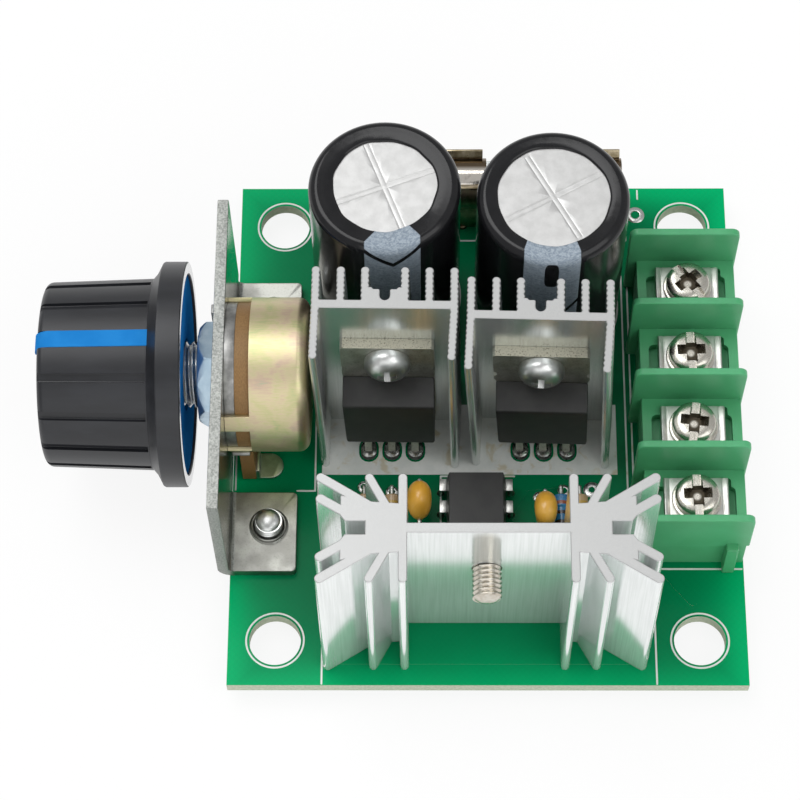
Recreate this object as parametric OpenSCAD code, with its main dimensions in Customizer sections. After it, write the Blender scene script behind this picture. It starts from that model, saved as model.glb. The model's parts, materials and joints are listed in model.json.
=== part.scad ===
// Motor speed controller board: a potentiometer with its knob on a steel bracket,
// two smoothing capacitors, a glass fuse, three finned heatsinks that carry
// TO-220 devices, a timer chip and a four way barrier terminal block.
// The origin is the centre of the mounting hole pattern, on the board's underside.
// X runs left to right, Y front to back, and Z up.

/* [Board] */
// Width of the circuit board, left to right
board_w = 55; // [55:0.5:66]
// Depth of the circuit board, front to back
board_d = 60; // [60:0.5:70]
// Thickness of the circuit board
board_t = 1.6; // [1:0.1:2.4]
// Diameter of the four mounting holes
mount_hole_d = 5.5; // [3:0.1:6]
// Distance of each mounting hole from the two edges beside it
mount_inset = 5; // [3.8:0.1:5]
// How far screw heads and trimmed leads reach below the board
stand_h = 1.9; // [1.7:0.1:2.6]
// Gap all round between a lead and its plated hole
lead_gap = 0.1; // [0.05:0.01:0.15]
// Height of the solder cone on each joint
solder_h = 1.2; // [0.6:0.1:1.5]
// Width of solder round a lead
solder_margin = 0.45; // [0.3:0.05:0.5]

/* [Potentiometer bracket] */
// Thickness of the bracket's sheet
bracket_t = 1.2; // [0.8:0.1:1.5]
// How far the bracket's middle is in front of the shaft's axis
bracket_shift = 0.6; // [0:0.1:0.8]
// Length of the bracket along the board's edge
bracket_len = 35.2; // [35:0.1:35.6]
// Height of the bracket above the board
bracket_h = 18.7; // [17.8:0.1:24]
// Reach of the bracket's two tabs over the board
tab_reach = 7.1; // [6.4:0.1:7.4]
// Width of each tab
tab_w = 9.2; // [8:0.1:9.3]
// Distance from the end of the plate to the tab beside it
tab_inset = 0.2; // [0:0.1:0.3]
// Radius of the tab's free corners
tab_corner_r = 1.6; // [0.5:0.1:3]
// Inside radius of the bend between plate and tab
bend_r = 0.5; // [0.3:0.1:0.8]
// Distance of the tab's screw from the board's left edge
tab_screw_x = 4.1; // [3.8:0.1:4.4]
// Outer diameter of the drawn collar round each tab screw
collar_d = 4.4; // [4.1:0.1:4.8]
// Height of the drawn collar above the tab
collar_h = 0.5; // [0.2:0.1:0.9]

/* [Potentiometer] */
// How far the shaft's axis is in front of the left heatsink's web
pot_shift = 0.7; // [0.3:0.1:1.2]
// Height of the shaft's axis above the board
pot_z = 11; // [10.6:0.1:12]
// Diameter of the metal can
pot_can_d = 16.4; // [15.6:0.1:16.8]
// Length of the can behind the wafer
pot_can_len = 6.1; // [5:0.1:6.2]
// Wall thickness of the can
pot_can_wall = 0.5; // [0.3:0.05:0.8]
// Radius of the can's rear edge
pot_can_edge_r = 1.2; // [0.8:0.1:1.8]
// Thickness of the steel front plate
pot_plate_t = 1.1; // [0.8:0.1:1.3]
// Thickness of the brown wafer
pot_wafer_t = 1.5; // [1:0.1:1.6]
// Outer diameter of the threaded bushing
bushing_d = 7; // [6.8:0.1:7.4]
// Length of the bushing in front of the bracket's inner face
bushing_len = 7; // [5:0.1:7.2]
// Distance across the flats of the nut
nut_af = 10; // [9:0.1:11]
// Thickness of the nut
nut_t = 1.8; // [1.4:0.1:2.2]
// Turn of the nut on its thread
nut_turn = 9; // [0:1:59]
// Diameter of the turning shaft
shaft_d = 6; // [5.6:0.1:6.1]
// Spacing of the three solder lugs
lug_pitch = 6; // [5:0.1:6]
// Width of a solder lug's foot
lug_w = 2.9; // [2.2:0.1:2.9]
// Angle of the can's folded ears above and below the shaft's axis
ear_angle = 24; // [20:1:28]
// Radial clearance of the shaft in the bushing
running_gap = 0.05; // [0.03:0.01:0.08]

/* [Knob] */
// Diameter of the grip at its free end
grip_d_end = 19.2; // [18.4:0.1:19.8]
// Diameter of the grip where it meets the skirt
grip_d_root = 20; // [19.4:0.1:20.6]
// Diameter of the skirt
skirt_d = 24; // [22.6:0.1:24.6]
// Length of the knob
knob_len = 15; // [14.4:0.1:18]
// Width of the skirt's rim along the axis
skirt_len = 2.1; // [1.6:0.1:2.8]
// Length of the flare from grip to skirt
flare_len = 0.9; // [0.6:0.1:1.6]
// Gap between the knob and the bracket
knob_gap = 3; // [1.5:0.1:3.2]
// Number of flutes round the grip, the pointer in place of one
flute_count = 15; // [9:1:24]
// Width of a flute
flute_w = 0.7; // [0.4:0.05:0.9]
// Wall thickness of the black shell
shell_wall = 1.3; // [1:0.1:1.6]
// Width of the blue pointer
pointer_w = 1.8; // [1.2:0.1:2.4]
// How far the pointer stands out of the grip
pointer_rise = 0.3; // [0.1:0.05:0.6]
// Turn of the pointer from straight up, towards the front
pointer_tilt = 4; // [0:1:20]

/* [Capacitors] */
// Diameter over the sleeve
cap_d = 16; // [12:0.1:16.2]
// Height of a capacitor
cap_h = 25; // [20:0.5:35]
// Gap between the two capacitors, side to side
cap_gap = 1.6; // [0.5:0.1:2.2]
// How much further back the left capacitor is than the right one
cap_step = 1.3; // [0:0.1:1.6]
// Thickness of the shrunk sleeve
sleeve_t = 0.2; // [0.15:0.05:0.35]
// Diameter of the bare metal disc on top
cap_disc_d = 11.4; // [8:0.1:11.6]
// Radius of the capacitor's top edge
cap_edge_r = 1.1; // [0.6:0.1:1.6]
// Depth of the crimped groove near the bottom
crimp_depth = 0.7; // [0.3:0.1:1]
// Spacing of a capacitor's leads
cap_pitch = 7.5; // [5:0.5:7.5]
// Width of the vent scores on top
vent_w = 0.4; // [0.2:0.05:0.6]
// Depth of the vent scores
vent_depth = 0.25; // [0.1:0.05:0.35]
// Turn of the left capacitor's crossed vent scores
vent_turn_left = 21; // [0:1:89]
// Turn of the right capacitor's crossed vent scores
vent_turn_right = 29; // [0:1:89]

/* [Fuse] */
// Diameter of the fuse's metal caps
fuse_d = 5.2; // [5:0.1:5.4]
// Length of the fuse
fuse_len = 20; // [18:0.1:20.5]
// Length of each metal cap
fuse_cap_len = 5; // [4:0.1:6]
// How far the fuse's middle is to the left of the right capacitor's
fuse_shift = 1.6; // [0:0.1:2]
// Fuse axis's distance from the back edge
fuse_inset = 3.2; // [2.4:0.1:4]
// Gap between the fuse and the right capacitor
fuse_gap = 1.3; // [0.5:0.1:2]
// Height of the fuse's axis above the board
fuse_z = 7.2; // [6:0.1:8.2]
// Sheet thickness of the clips
clip_t = 0.4; // [0.3:0.05:0.5]
// Width of a clip along the fuse
clip_w = 4.4; // [3.6:0.1:4.8]
// Diameter of the fuse wire
fuse_wire_d = 0.3; // [0.2:0.05:0.5]

/* [Rear heatsinks] */
// Height of both rear heatsinks
rear_sink_h = 25; // [22:0.5:32]
// Overall width of a rear heatsink
rear_sink_w = 15.1; // [14.8:0.1:15.3]
// Depth of the side fins in front of the web
rear_sink_front = 5.65; // [5.2:0.05:6]
// Length of the fins behind the web
rear_sink_back = 3.85; // [3:0.05:3.9]
// Thickness of the web
rear_web_t = 0.95; // [0.9:0.05:1.2]
// Thickness of the fins
rear_fin_t = 0.88; // [0.7:0.02:1]
// Gap between the potentiometer and the left heatsink
sink_pot_gap = 0.55; // [0.4:0.05:0.9]
// Gap between the two rear heatsinks
sink_gap = 1; // [0.5:0.1:1.8]
// Gap between each heatsink's fins and the capacitor behind it
sink_cap_gap = 1.7; // [0.5:0.1:2.5]

/* [Front heatsink] */
// Height of the front heatsink
front_sink_h = 25; // [22:0.5:32]
// Overall width of the front heatsink
front_sink_w = 34; // [33.6:0.1:34.4]
// Overall depth of the front heatsink
front_sink_d = 11.6; // [11:0.1:12]
// Thickness of the web
front_web_t = 1.06; // [0.9:0.02:1.4]
// Clear width of the bay for the device
front_bay_w = 16; // [15:0.1:16.4]
// Thickness of the branching fins
front_fin_t = 0.9; // [0.8:0.02:1.1]
// How far the heatsink's middle is to the left of the board's
front_sink_shift = 0.3; // [0:0.1:1]
// Gap between the heatsink and the timer chip behind it
front_sink_gap = 0.25; // [0.2:0.05:0.6]

/* [TO-220 devices] */
// Width of the tab and of the plastic body
dev_w = 9.7; // [9.2:0.1:10.2]
// Thickness over the plastic body
dev_t = 4.5; // [4.2:0.05:4.7]
// Thickness of the tab
dev_tab_t = 1.27; // [1:0.01:1.4]
// Height of the body's lower end above the board
dev_lift = 2.2; // [1.5:0.1:3]
// Height of the plastic body
dev_body_h = 9.1; // [8.4:0.1:9.4]
// Height of the tab above the plastic body
dev_tab_h = 6.8; // [6.4:0.1:7]
// Diameter of the tab's hole
dev_hole_d = 3.7; // [3.4:0.1:4]
// Distance of the hole from the tab's top
dev_hole_drop = 2.6; // [2.5:0.1:3]
// How far the rear devices stand to the right of their heatsinks' centres
dev_shift = 0.4; // [0:0.1:0.8]
// Spacing of the leads
dev_pitch = 2.54; // [2.5:0.01:2.6]
// Distance from the tab's back to the leads where they leave the body
dev_lead_y = 2.7; // [2.4:0.05:3]
// Distance from the tab's back to the leads where they enter the board
dev_foot_y = 4; // [3.2:0.1:4.2]

/* [Screws] */
// Thread diameter of the machine screws
screw_d = 3; // [2.8:0.1:3.1]
// Head diameter of the machine screws
screw_head_d = 4.7; // [4.4:0.1:5]
// Radial clearance of a screw in its hole
screw_gap = 0.06; // [0.04:0.01:0.1]
// Width of the cross recess in a screw head
cross_w = 0.8; // [0.5:0.05:1.1]
// Length of the bracket screws below their heads
bracket_screw_len = 4.2; // [3.9:0.1:5]
// How far the front heatsink's screw stands out of the web
front_screw_out = 3.5; // [2:0.1:4]

/* [Timer chip] */
// How far the chip's middle is to the left of the front heatsink's
chip_shift = 0.8; // [0.4:0.1:1.2]
// Gap between the chip and the right rear heatsink
chip_gap = 1.9; // [1.2:0.1:2.4]
// Width of the chip's body
chip_w = 6.35; // [6:0.05:6.6]
// Length of the chip's body
chip_len = 9.3; // [9:0.1:9.5]
// Height of the chip's body
chip_h = 3.3; // [2.8:0.1:3.6]
// Gap between the chip and the board
chip_lift = 0.5; // [0.3:0.05:0.8]
// Spacing of the pins along a row
pin_pitch = 2.54; // [2.5:0.01:2.58]
// Spacing of the two rows
row_pitch = 7.62; // [7.5:0.01:7.8]

/* [Small parts] */
// Diameter of a ceramic capacitor's drop
bead_d = 4.1; // [3.6:0.1:4.4]
// Thickness of a ceramic capacitor's drop
bead_t = 2.4; // [1.8:0.1:2.5]
// Spacing of a ceramic capacitor's leads
bead_pitch = 5.08; // [4.8:0.01:5.1]
// Diameter of a resistor's ends
res_d = 1.85; // [1.6:0.05:1.9]
// Length of a resistor's body
res_len = 5.4; // [4.6:0.1:5.6]
// Spacing of a resistor's leads
res_pitch = 7.62; // [7.3:0.01:7.7]
// Gap between the resistors' front leads and the front heatsink
res_gap = 1.4; // [0.6:0.1:1.6]
// Diameter of the wire leads
wire_d = 0.5; // [0.4:0.05:0.6]

/* [Terminal block] */
// Number of ways
ways = 4; // [2:1:4]
// Spacing of the ways
way_pitch = 8.42; // [8.2:0.02:8.46]
// Width of the block across the ways
block_w = 11.9; // [11.4:0.1:12]
// Height of the barriers
barrier_h = 12.3; // [11:0.1:16]
// Thickness of a barrier
barrier_t = 0.8; // [0.7:0.05:1.1]
// Height of the floor between the barriers
floor_h = 6.3; // [5.8:0.1:7.4]
// Distance of the block from the board's right edge
block_inset = -0.1; // [-0.4:0.1:0.2]
// Distance of the block from the board's back edge
block_back = 12; // [11:0.1:12.2]
// How far the floor stands back from the barriers' inner ends
floor_back = 1; // [0.5:0.1:1.2]
// Radius of the barriers' top corners
barrier_r = 0.9; // [0.6:0.1:2]
// Thickness of the contact plates
contact_t = 0.8; // [0.6:0.05:1]
// Thread diameter of the terminal screws
clamp_screw_d = 3.4; // [3:0.1:3.6]
// Head diameter of the terminal screws
clamp_head_d = 4.8; // [4.6:0.1:5.4]
// Head height of the terminal screws
clamp_head_h = 1.9; // [1.5:0.1:2.2]
// Thickness of the clamp washers
clamp_t = 0.7; // [0.5:0.05:0.9]
// Rise of a terminal screw when it is opened
clamp_travel = 1.5; // [1:0.1:1.6]

/* [Hidden] */
$fn = 64;
// how far a cutting solid runs past the face it cuts
cut = 1;

// screws
screw_r = screw_d / 2;
head_r = screw_head_d / 2;
bore_r = screw_r + screw_gap;
head_h = stand_h;

// places across the board, from the potentiometer to the right
wafer_x = pot_plate_t;
can_x = wafer_x + pot_wafer_t;
can_end_x = can_x + pot_can_len;
rear_left_x = can_end_x + sink_pot_gap + rear_sink_w / 2;
rear_right_x = rear_left_x + rear_sink_w + sink_gap;
cap_left_x = can_end_x + cap_d / 2;
cap_right_x = cap_left_x + cap_d + cap_gap;
fuse_x = cap_right_x - fuse_shift;
front_sink_x = board_w / 2 - front_sink_shift;
chip_x = front_sink_x - chip_shift;

// places along the board, from the back edge to the front
fuse_y = board_d - fuse_inset;
cap_right_y = fuse_y - fuse_d / 2 - fuse_gap - cap_d / 2;
cap_left_y = cap_right_y + cap_step;
sink_back = rear_web_t + rear_sink_back + sink_cap_gap + cap_d / 2;
rear_left_y = cap_left_y - sink_back;
rear_right_y = cap_right_y - sink_back;
pot_y = rear_left_y - pot_shift;
bracket_y = pot_y - bracket_len / 2 - bracket_shift;
chip_y = rear_right_y - rear_sink_front - chip_gap - chip_len / 2;
front_sink_y = chip_y - chip_len / 2 - front_sink_gap - front_sink_d / 2;
res_y = front_sink_y + front_sink_d / 2 + res_gap + res_pitch;

// bracket
tab_ys = [bracket_y + tab_inset, bracket_y + bracket_len - tab_inset - tab_w];

// potentiometer stations along X, from the bracket's inner face inwards
disc_r = pot_can_d / 2 - pot_can_wall;
can_r = pot_can_d / 2;
rotor_x = can_x + 0.8;
rotor_t = 1.6;
rotor_r = disc_r - 1.2;
wiper_gap = 0.35;
lug_x = can_x + lug_w / 2;
lug_t = 0.4;
lug_gap = 0.3;
lug_plate_h = 2.2;
foot_half = lug_pitch + lug_w / 2;
ear_w = 2;
lug_pin_d = 0.9;
key_w = 2.8;
key_t = 1.1;
neck_wall = 0.35;
bushing_neck_d = shaft_d + 2 * (running_gap + neck_wall);
bushing_lead_in = 0.4;
key_out = 0.8;

// knob stations along X, from the bracket's outer face outwards
skirt_x = -bracket_t - knob_gap;
flare_x = skirt_x - skirt_len;
grip_x = flare_x - flare_len;
end_x = skirt_x - knob_len;
end_r = 1.4;
end_wall = 1.6;
core_wall = 1.1;
core_r = grip_d_end / 2 - shell_wall;
core_back = 0.3;
back_t = 1.1;
back_bore_r = bushing_d / 2 + 0.4;
core_web = 2.5;
press_gap = 0.02;
pointer_in_r = core_r - core_wall / 2;
cap_floor = 0.4;
core_end = end_x + end_wall;
hub_r = shaft_d / 2 + 1.5;
hub_front = -bushing_len - 0.5;
shaft_end = core_end + core_wall;

// capacitors
cap_r = cap_d / 2;
can_in_r = cap_r - sleeve_t;
bung_r = can_in_r - crimp_depth - 0.4;
bung_h = 1.8;
crimp_z = 3;
crimp_r = 0.9;
disc_drop = 0.5;
cap_spots = [[cap_left_x, cap_left_y], [cap_right_x, cap_right_y]];
cap_lead_d = 0.8;

// fuse
glass_r = fuse_d / 2 - 0.35;
glass_bore_r = glass_r - 0.6;
clip_xs = [fuse_x - fuse_len / 2 + 0.2, fuse_x + fuse_len / 2 - 0.2 - clip_w];
clip_in_r = fuse_d / 2 + press_gap;
clip_out_r = clip_in_r + clip_t;
clip_pin_y = 1.6;
clip_pin_d = 0.9;
clip_open = 42;

// rear heatsinks
rear_half = rear_sink_w / 2;
rear_inner = [4.55, 2.05];
boss_half = rear_inner[1] - rear_fin_t / 2;
boss_t = 1.5;
boss_slot = 1.05;

// front heatsink, as one quarter measured from its centre
front_half_w = front_sink_w / 2;
front_half_d = front_sink_d / 2;
bay_half = front_bay_w / 2;
fin_r = front_fin_t / 2;
hub_v = front_half_d * 0.44;
slot_v = 0.7;
slot_u = front_half_w - 4.85;
arm_u = front_half_w - 2.4;

// devices: centre, back plane, and the way the body faces
dev_left = [rear_left_x + dev_shift, rear_left_y, -1];
dev_right = [rear_right_x + dev_shift, rear_right_y, -1];
dev_front = [front_sink_x, front_sink_y + front_web_t / 2, 1];
dev_hole_z = dev_lift + dev_body_h + dev_tab_h - dev_hole_drop;
dev_leg_w = 0.8;
dev_leg_t = 0.5;
dev_edge = 0.3;
dimple_d = 1.2;

// chip pins
pin_t = 0.26;
pin_w = 0.5;
pin_shoulder_w = 1.4;
pin_shoulder_h = 1.6;
chip_draft = 0.25;
notch_r = 0.9;
notch_depth = 0.6;

// small parts
bead_left_out = 6.1;
bead_left_back = 1.5;
bead_right_out = 7.4;
bead_right_back = 0.3;
bead_lift = 1.4;
bead_spots = [[chip_x - bead_left_out, chip_y + bead_left_back],
    [chip_x + bead_right_out, chip_y + bead_right_back]];
bead_z = bead_lift + bead_d / 2;
blue_out = 9.2;
tan_outs = [-12.1, -9.1, 11.2];
diode_out = 13.3;
blue_x = chip_x + blue_out;
tan_xs = [for (out = tan_outs) chip_x + out];
diode_x = chip_x + diode_out;
res_z = res_d / 2;
waist_d = res_d * 0.84;
bead_lead_drop = 0.6;
diode_d = 1.7;
diode_len = 3.9;

// terminal block
block_x = board_w - block_inset - block_w;
block_len = ways * way_pitch + barrier_t;
block_y = board_d - block_back - block_len;
floor_x = block_x + floor_back;
floor_w = block_w - floor_back - 0.2;
cell_w = way_pitch - barrier_t;
screw_x = block_x + block_w * 0.535;
well_len = 8.2;
well_w = cell_w - 0.6;
contact_rise = 0.2;
well_depth = contact_t - contact_rise;
well_gap = 0.1;
contact_z = floor_h - well_depth;
plate_z = contact_z + contact_t;
clamp_len = well_len - 1.2;
key_rib = [1.3, 0.85];
key_inset = 1.2;
clamp_w = well_w - 0.6;
wing_t = 0.9;
wing_h = 0.9;
clamp_head_z = plate_z + clamp_t;
clamp_shank = contact_t + clamp_t + clamp_travel + 1.6;
clamp_bore_r = clamp_screw_d / 2 + running_gap;
leg_x = 1.1;
leg_w = 1.2;

function way_y(i) = block_y + barrier_t / 2 + way_pitch * (i + 0.5);
function row_spots(x, ys, d) = [for (y = ys) [x, y, d]];

// every plated hole: X, Y and the lead's diameter
dev_lead_d = 2 * norm([dev_leg_w / 2, dev_leg_t / 2]);
lead_spots = concat(
    [for (s = [dev_left, dev_right, dev_front], i = [-1:1])
        [s[0] + i * dev_pitch, s[1] + s[2] * dev_foot_y, dev_lead_d]],
    [for (s = cap_spots, k = [-1, 1]) [s[0], s[1] + k * cap_pitch / 2, cap_lead_d]],
    [for (i = [-1:1]) [lug_x, pot_y + i * lug_pitch, lug_pin_d]],
    [for (x = clip_xs, k = [-1, 1]) [x + clip_w / 2, fuse_y + k * clip_pin_y, clip_pin_d]],
    [for (k = [-1, 1], j = [-1.5:1.5]) [chip_x + k * row_pitch / 2, chip_y + j * pin_pitch, 0.6]],
    [for (s = bead_spots, k = [-1, 1]) [s[0], s[1] + k * bead_pitch / 2, wire_d]],
    [for (x = concat([blue_x, diode_x], tan_xs), k = [0, 1]) [x, res_y - k * res_pitch, wire_d]],
    [for (i = [0:ways - 1]) [floor_x + leg_x, way_y(i), leg_w]]
);

module on_board() {
    translate([-board_w / 2, -board_d / 2, board_t]) children();
}

module along_x(x) {
    translate([x, pot_y, pot_z]) rotate([0, 90, 0]) children();
}

// pan head with a cross recess, its flat face at z = 0 and its top at z = h
module pan_head(d, h, w, flatness = 1.35) {
    dome_r = (d * d / 4 + h * h) / (2 * h) * flatness;
    difference() {
        intersection() {
            cylinder(d = d, h = h);
            translate([0, 0, h - dome_r]) sphere(r = dome_r);
        }
        for (a = [0, 90])
            rotate(a) translate([-d * 0.34, -w / 2, h * 0.45]) cube([d * 0.68, w, h]);
    }
}

// screw that points down from a head resting on z = 0
module machine_screw(len) {
    pan_head(screw_head_d, head_h, cross_w);
    translate([0, 0, -len]) cylinder(r = screw_r, h = len + head_h * 0.3);
}

// flat bar from a to b with a round end at b
module bar(a, b, t) {
    d = b - a;
    translate(a) rotate(atan2(d[1], d[0])) translate([0, -t / 2]) square([norm(d), t]);
    translate(b) circle(d = t);
}

// ------------------------------------------------------------------ board

module circuit_board() {
    color("seagreen") on_board() difference() {
        translate([0, 0, -board_t]) cube([board_w, board_d, board_t]);
        for (x = [mount_inset, board_w - mount_inset], y = [mount_inset, board_d - mount_inset])
            translate([x, y, -board_t - cut]) cylinder(d = mount_hole_d, h = board_t + 2 * cut);
        for (s = lead_spots)
            translate([s[0], s[1], -board_t - cut])
                cylinder(d = s[2] + 2 * lead_gap, h = board_t + 2 * cut, $fn = 32);
        for (y = tab_ys)
            translate([tab_screw_x, y + tab_w / 2, -board_t - cut])
                cylinder(r = bore_r, h = board_t + 2 * cut);
    }
}

module solder_joints() {
    color("lightgrey") on_board()
        for (s = lead_spots) translate([s[0], s[1], -board_t]) mirror([0, 0, 1]) {
            cylinder(d1 = s[2] + 2 * solder_margin, d2 = s[2] + 0.15, h = solder_h, $fn = 24);
            cylinder(d = s[2], h = stand_h, $fn = 24);
        }
}

// ---------------------------------------------------- bracket and its screws

module tab_outline() {
    square([tab_reach - tab_corner_r, tab_w]);
    translate([0, tab_corner_r]) square([tab_reach, tab_w - 2 * tab_corner_r]);
    for (y = [tab_corner_r, tab_w - tab_corner_r])
        translate([tab_reach - tab_corner_r, y]) circle(r = tab_corner_r);
}

// sheet section across a bend, drawn with X across the board and Y up
module bend_section() {
    intersection() {
        translate([bend_r, bracket_t + bend_r]) difference() {
            circle(r = bend_r + bracket_t);
            circle(r = bend_r);
        }
        translate([-bracket_t, 0]) square(bend_r + bracket_t);
    }
}

module pot_bracket() {
    color("silver") on_board() difference() {
        union() {
            translate([-bracket_t, bracket_y, bend_r + bracket_t])
                cube([bracket_t, bracket_len, bracket_h - bend_r - bracket_t]);
            translate([-bracket_t, tab_ys[0] + tab_w, 0])
                cube([bracket_t, tab_ys[1] - tab_ys[0] - tab_w, bracket_h / 2]);
            for (y = tab_ys) translate([0, y, 0]) {
                translate([0, tab_w, 0]) rotate([90, 0, 0]) linear_extrude(tab_w) bend_section();
                linear_extrude(bracket_t) intersection() {
                    tab_outline();
                    translate([bend_r, 0]) square([tab_reach, tab_w]);
                }
                translate([tab_screw_x, tab_w / 2, 0]) cylinder(d = collar_d, h = bracket_t + collar_h);
            }
        }
        along_x(-bracket_t - cut) cylinder(d = bushing_d + 2 * screw_gap, h = bracket_t + 2 * cut);
        translate([-bracket_t - cut, pot_y + disc_r - key_t - screw_gap, pot_z - key_w / 2 - screw_gap])
            cube([bracket_t + 2 * cut, key_t + 2 * screw_gap, key_w + 2 * screw_gap]);
        for (y = tab_ys) translate([tab_screw_x, y + tab_w / 2, -cut])
            cylinder(r = bore_r, h = bracket_t + collar_h + 2 * cut);
    }
}

module bracket_screws() {
    color("gainsboro") on_board()
        for (y = tab_ys) translate([tab_screw_x, y + tab_w / 2, -board_t]) mirror([0, 0, 1])
            machine_screw(bracket_screw_len);
}

// ------------------------------------------------------------ potentiometer

module pot_front_plate() {
    color("darkgrey") on_board() {
        difference() {
            along_x(0) cylinder(r = disc_r, h = pot_plate_t);
            along_x(-cut) cylinder(d = bushing_neck_d, h = pot_plate_t + 2 * cut);
        }
        translate([-bracket_t - key_out, pot_y + disc_r - key_t, pot_z - key_w / 2])
            cube([bracket_t + key_out + pot_plate_t / 2, key_t, key_w]);
    }
}

module pot_bushing() {
    color("lightgrey") on_board() difference() {
        union() {
            along_x(-bushing_len)
                cylinder(d1 = bushing_d - 2 * bushing_lead_in, d2 = bushing_d, h = bushing_lead_in);
            along_x(-bushing_len + bushing_lead_in)
                cylinder(d = bushing_d, h = bushing_len - bushing_lead_in);
            along_x(0) cylinder(d = bushing_neck_d, h = pot_plate_t);
        }
        along_x(-bushing_len - cut)
            cylinder(r = shaft_d / 2 + running_gap, h = bushing_len + pot_plate_t + 2 * cut);
    }
}

module pot_nut() {
    color("lightsteelblue") on_board() difference() {
        intersection() {
            along_x(-bracket_t - nut_t) rotate(nut_turn)
                cylinder(d = nut_af / cos(30), h = nut_t, $fn = 6);
            along_x(-bracket_t - nut_t) cylinder(d1 = nut_af, d2 = nut_af + 2 * nut_t, h = nut_t);
        }
        along_x(-bracket_t - nut_t - cut) cylinder(d = bushing_d + 2 * screw_gap, h = nut_t + 2 * cut);
    }
}

// the can's ears, folded forward over the wafer and the front plate, grown by a gap
module ears(gap) {
    for (a = [ear_angle, -ear_angle, 180 - ear_angle, 180 + ear_angle])
        intersection() {
            difference() {
                along_x(0) cylinder(r = can_r + gap, h = can_x + cut);
                along_x(-cut) cylinder(r = disc_r, h = can_x + 3 * cut);
            }
            along_x(0) rotate(a + 90) translate([0, -ear_w / 2 - gap, 0])
                cube([can_r + cut, ear_w + 2 * gap, can_x + cut / 2]);
        }
}

module wafer_outline() {
    circle(r = disc_r);
    // the foot that carries the lugs, down to just above the board
    translate([0, -foot_half]) square([pot_z - lug_gap, 2 * foot_half]);
}

module pot_wafer() {
    color("peru") on_board() difference() {
        along_x(wafer_x) linear_extrude(pot_wafer_t) wafer_outline();
        ears(screw_gap);
        along_x(wafer_x - cut) cylinder(r = shaft_d / 2 + 3 * running_gap, h = pot_wafer_t + 2 * cut);
    }
}

module pot_can() {
    color("khaki") on_board() {
        difference() {
            along_x(can_x) rotate_extrude() {
                square([can_r, pot_can_len - pot_can_edge_r]);
                square([can_r - pot_can_edge_r, pot_can_len]);
                translate([can_r - pot_can_edge_r, pot_can_len - pot_can_edge_r])
                    circle(r = pot_can_edge_r);
            }
            along_x(can_x - cut) cylinder(r = disc_r, h = pot_can_len - pot_can_wall + cut);
        }
        ears(0);
    }
}

module pot_terminals() {
    color("silver") on_board()
        for (i = [-1:1]) translate([0, pot_y + i * lug_pitch, 0]) {
            // plate against the wafer
            translate([can_x, -lug_w / 2, lug_gap]) cube([lug_t, lug_w, lug_plate_h]);
            // foot with its round end
            translate([can_x, -lug_w / 2, lug_gap]) cube([lug_x - can_x, lug_w, lug_t]);
            translate([lug_x, 0, lug_gap]) cylinder(d = lug_w, h = lug_t);
            translate([lug_x, 0, -board_t]) cylinder(d = lug_pin_d, h = board_t + lug_gap + lug_t / 2);
        }
}

module pot_shaft() {
    color("silver") on_board()
        along_x(shaft_end) cylinder(d = shaft_d, h = rotor_x - shaft_end);
}

module pot_rotor() {
    color("black") on_board() {
        along_x(rotor_x) cylinder(r = rotor_r, h = rotor_t);
        // wiper that reaches towards the wafer's track
        along_x(can_x + wiper_gap) rotate(-90) translate([rotor_r - 1.6, -0.8, 0])
            cube([1.2, 1.6, rotor_x - can_x]);
    }
}

// --------------------------------------------------------------------- knob

// outline of the grip and skirt, radius along X and length along Y
module knob_section() {
    polygon([[0, 0], [skirt_d / 2, 0], [skirt_d / 2, skirt_len],
        [grip_d_root / 2, skirt_len + flare_len],
        [grip_d_end / 2, knob_len - end_r], [0, knob_len - end_r]]);
    square([grip_d_end / 2 - end_r, knob_len]);
    translate([grip_d_end / 2 - end_r, knob_len - end_r]) circle(r = end_r);
}

module knob_turned() {
    along_x(skirt_x) rotate([180, 0, 0]) children();
}

module flutes() {
    slope = atan((grip_d_root - grip_d_end) / 2 / (knob_len - skirt_len - flare_len));
    for (i = [1:flute_count - 1])
        rotate(i * 360 / flute_count) translate([grip_d_root / 2, 0, skirt_len + flare_len])
            rotate([0, -slope, 0]) cylinder(d = flute_w, h = knob_len);
}

// radial slot through the shell and its end wall that the pointer fills
module pointer_slot() {
    translate([pointer_in_r, -pointer_w / 2, skirt_len + flare_len]) cube([skirt_d, pointer_w, knob_len]);
}

module knob_shell() {
    color("#202226") on_board() knob_turned() rotate(180 - pointer_tilt) difference() {
        rotate_extrude() knob_section();
        translate([0, 0, -cut]) cylinder(d = skirt_d - 2 * shell_wall, h = skirt_len + cut);
        cylinder(r = core_r, h = knob_len - end_wall);
        flutes();
        pointer_slot();
    }
}

// the grip's outline, grown by the pointer's rise
module pointer_section() {
    polygon([[0, 0], [grip_d_root / 2 + pointer_rise, 0],
        [grip_d_root / 2 + pointer_rise, skirt_len + flare_len],
        [grip_d_end / 2 + pointer_rise, knob_len - end_r], [0, knob_len - end_r]]);
    square([grip_d_end / 2 - end_r, knob_len + pointer_rise]);
    translate([grip_d_end / 2 - end_r, knob_len - end_r]) circle(r = end_r + pointer_rise);
}

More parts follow.
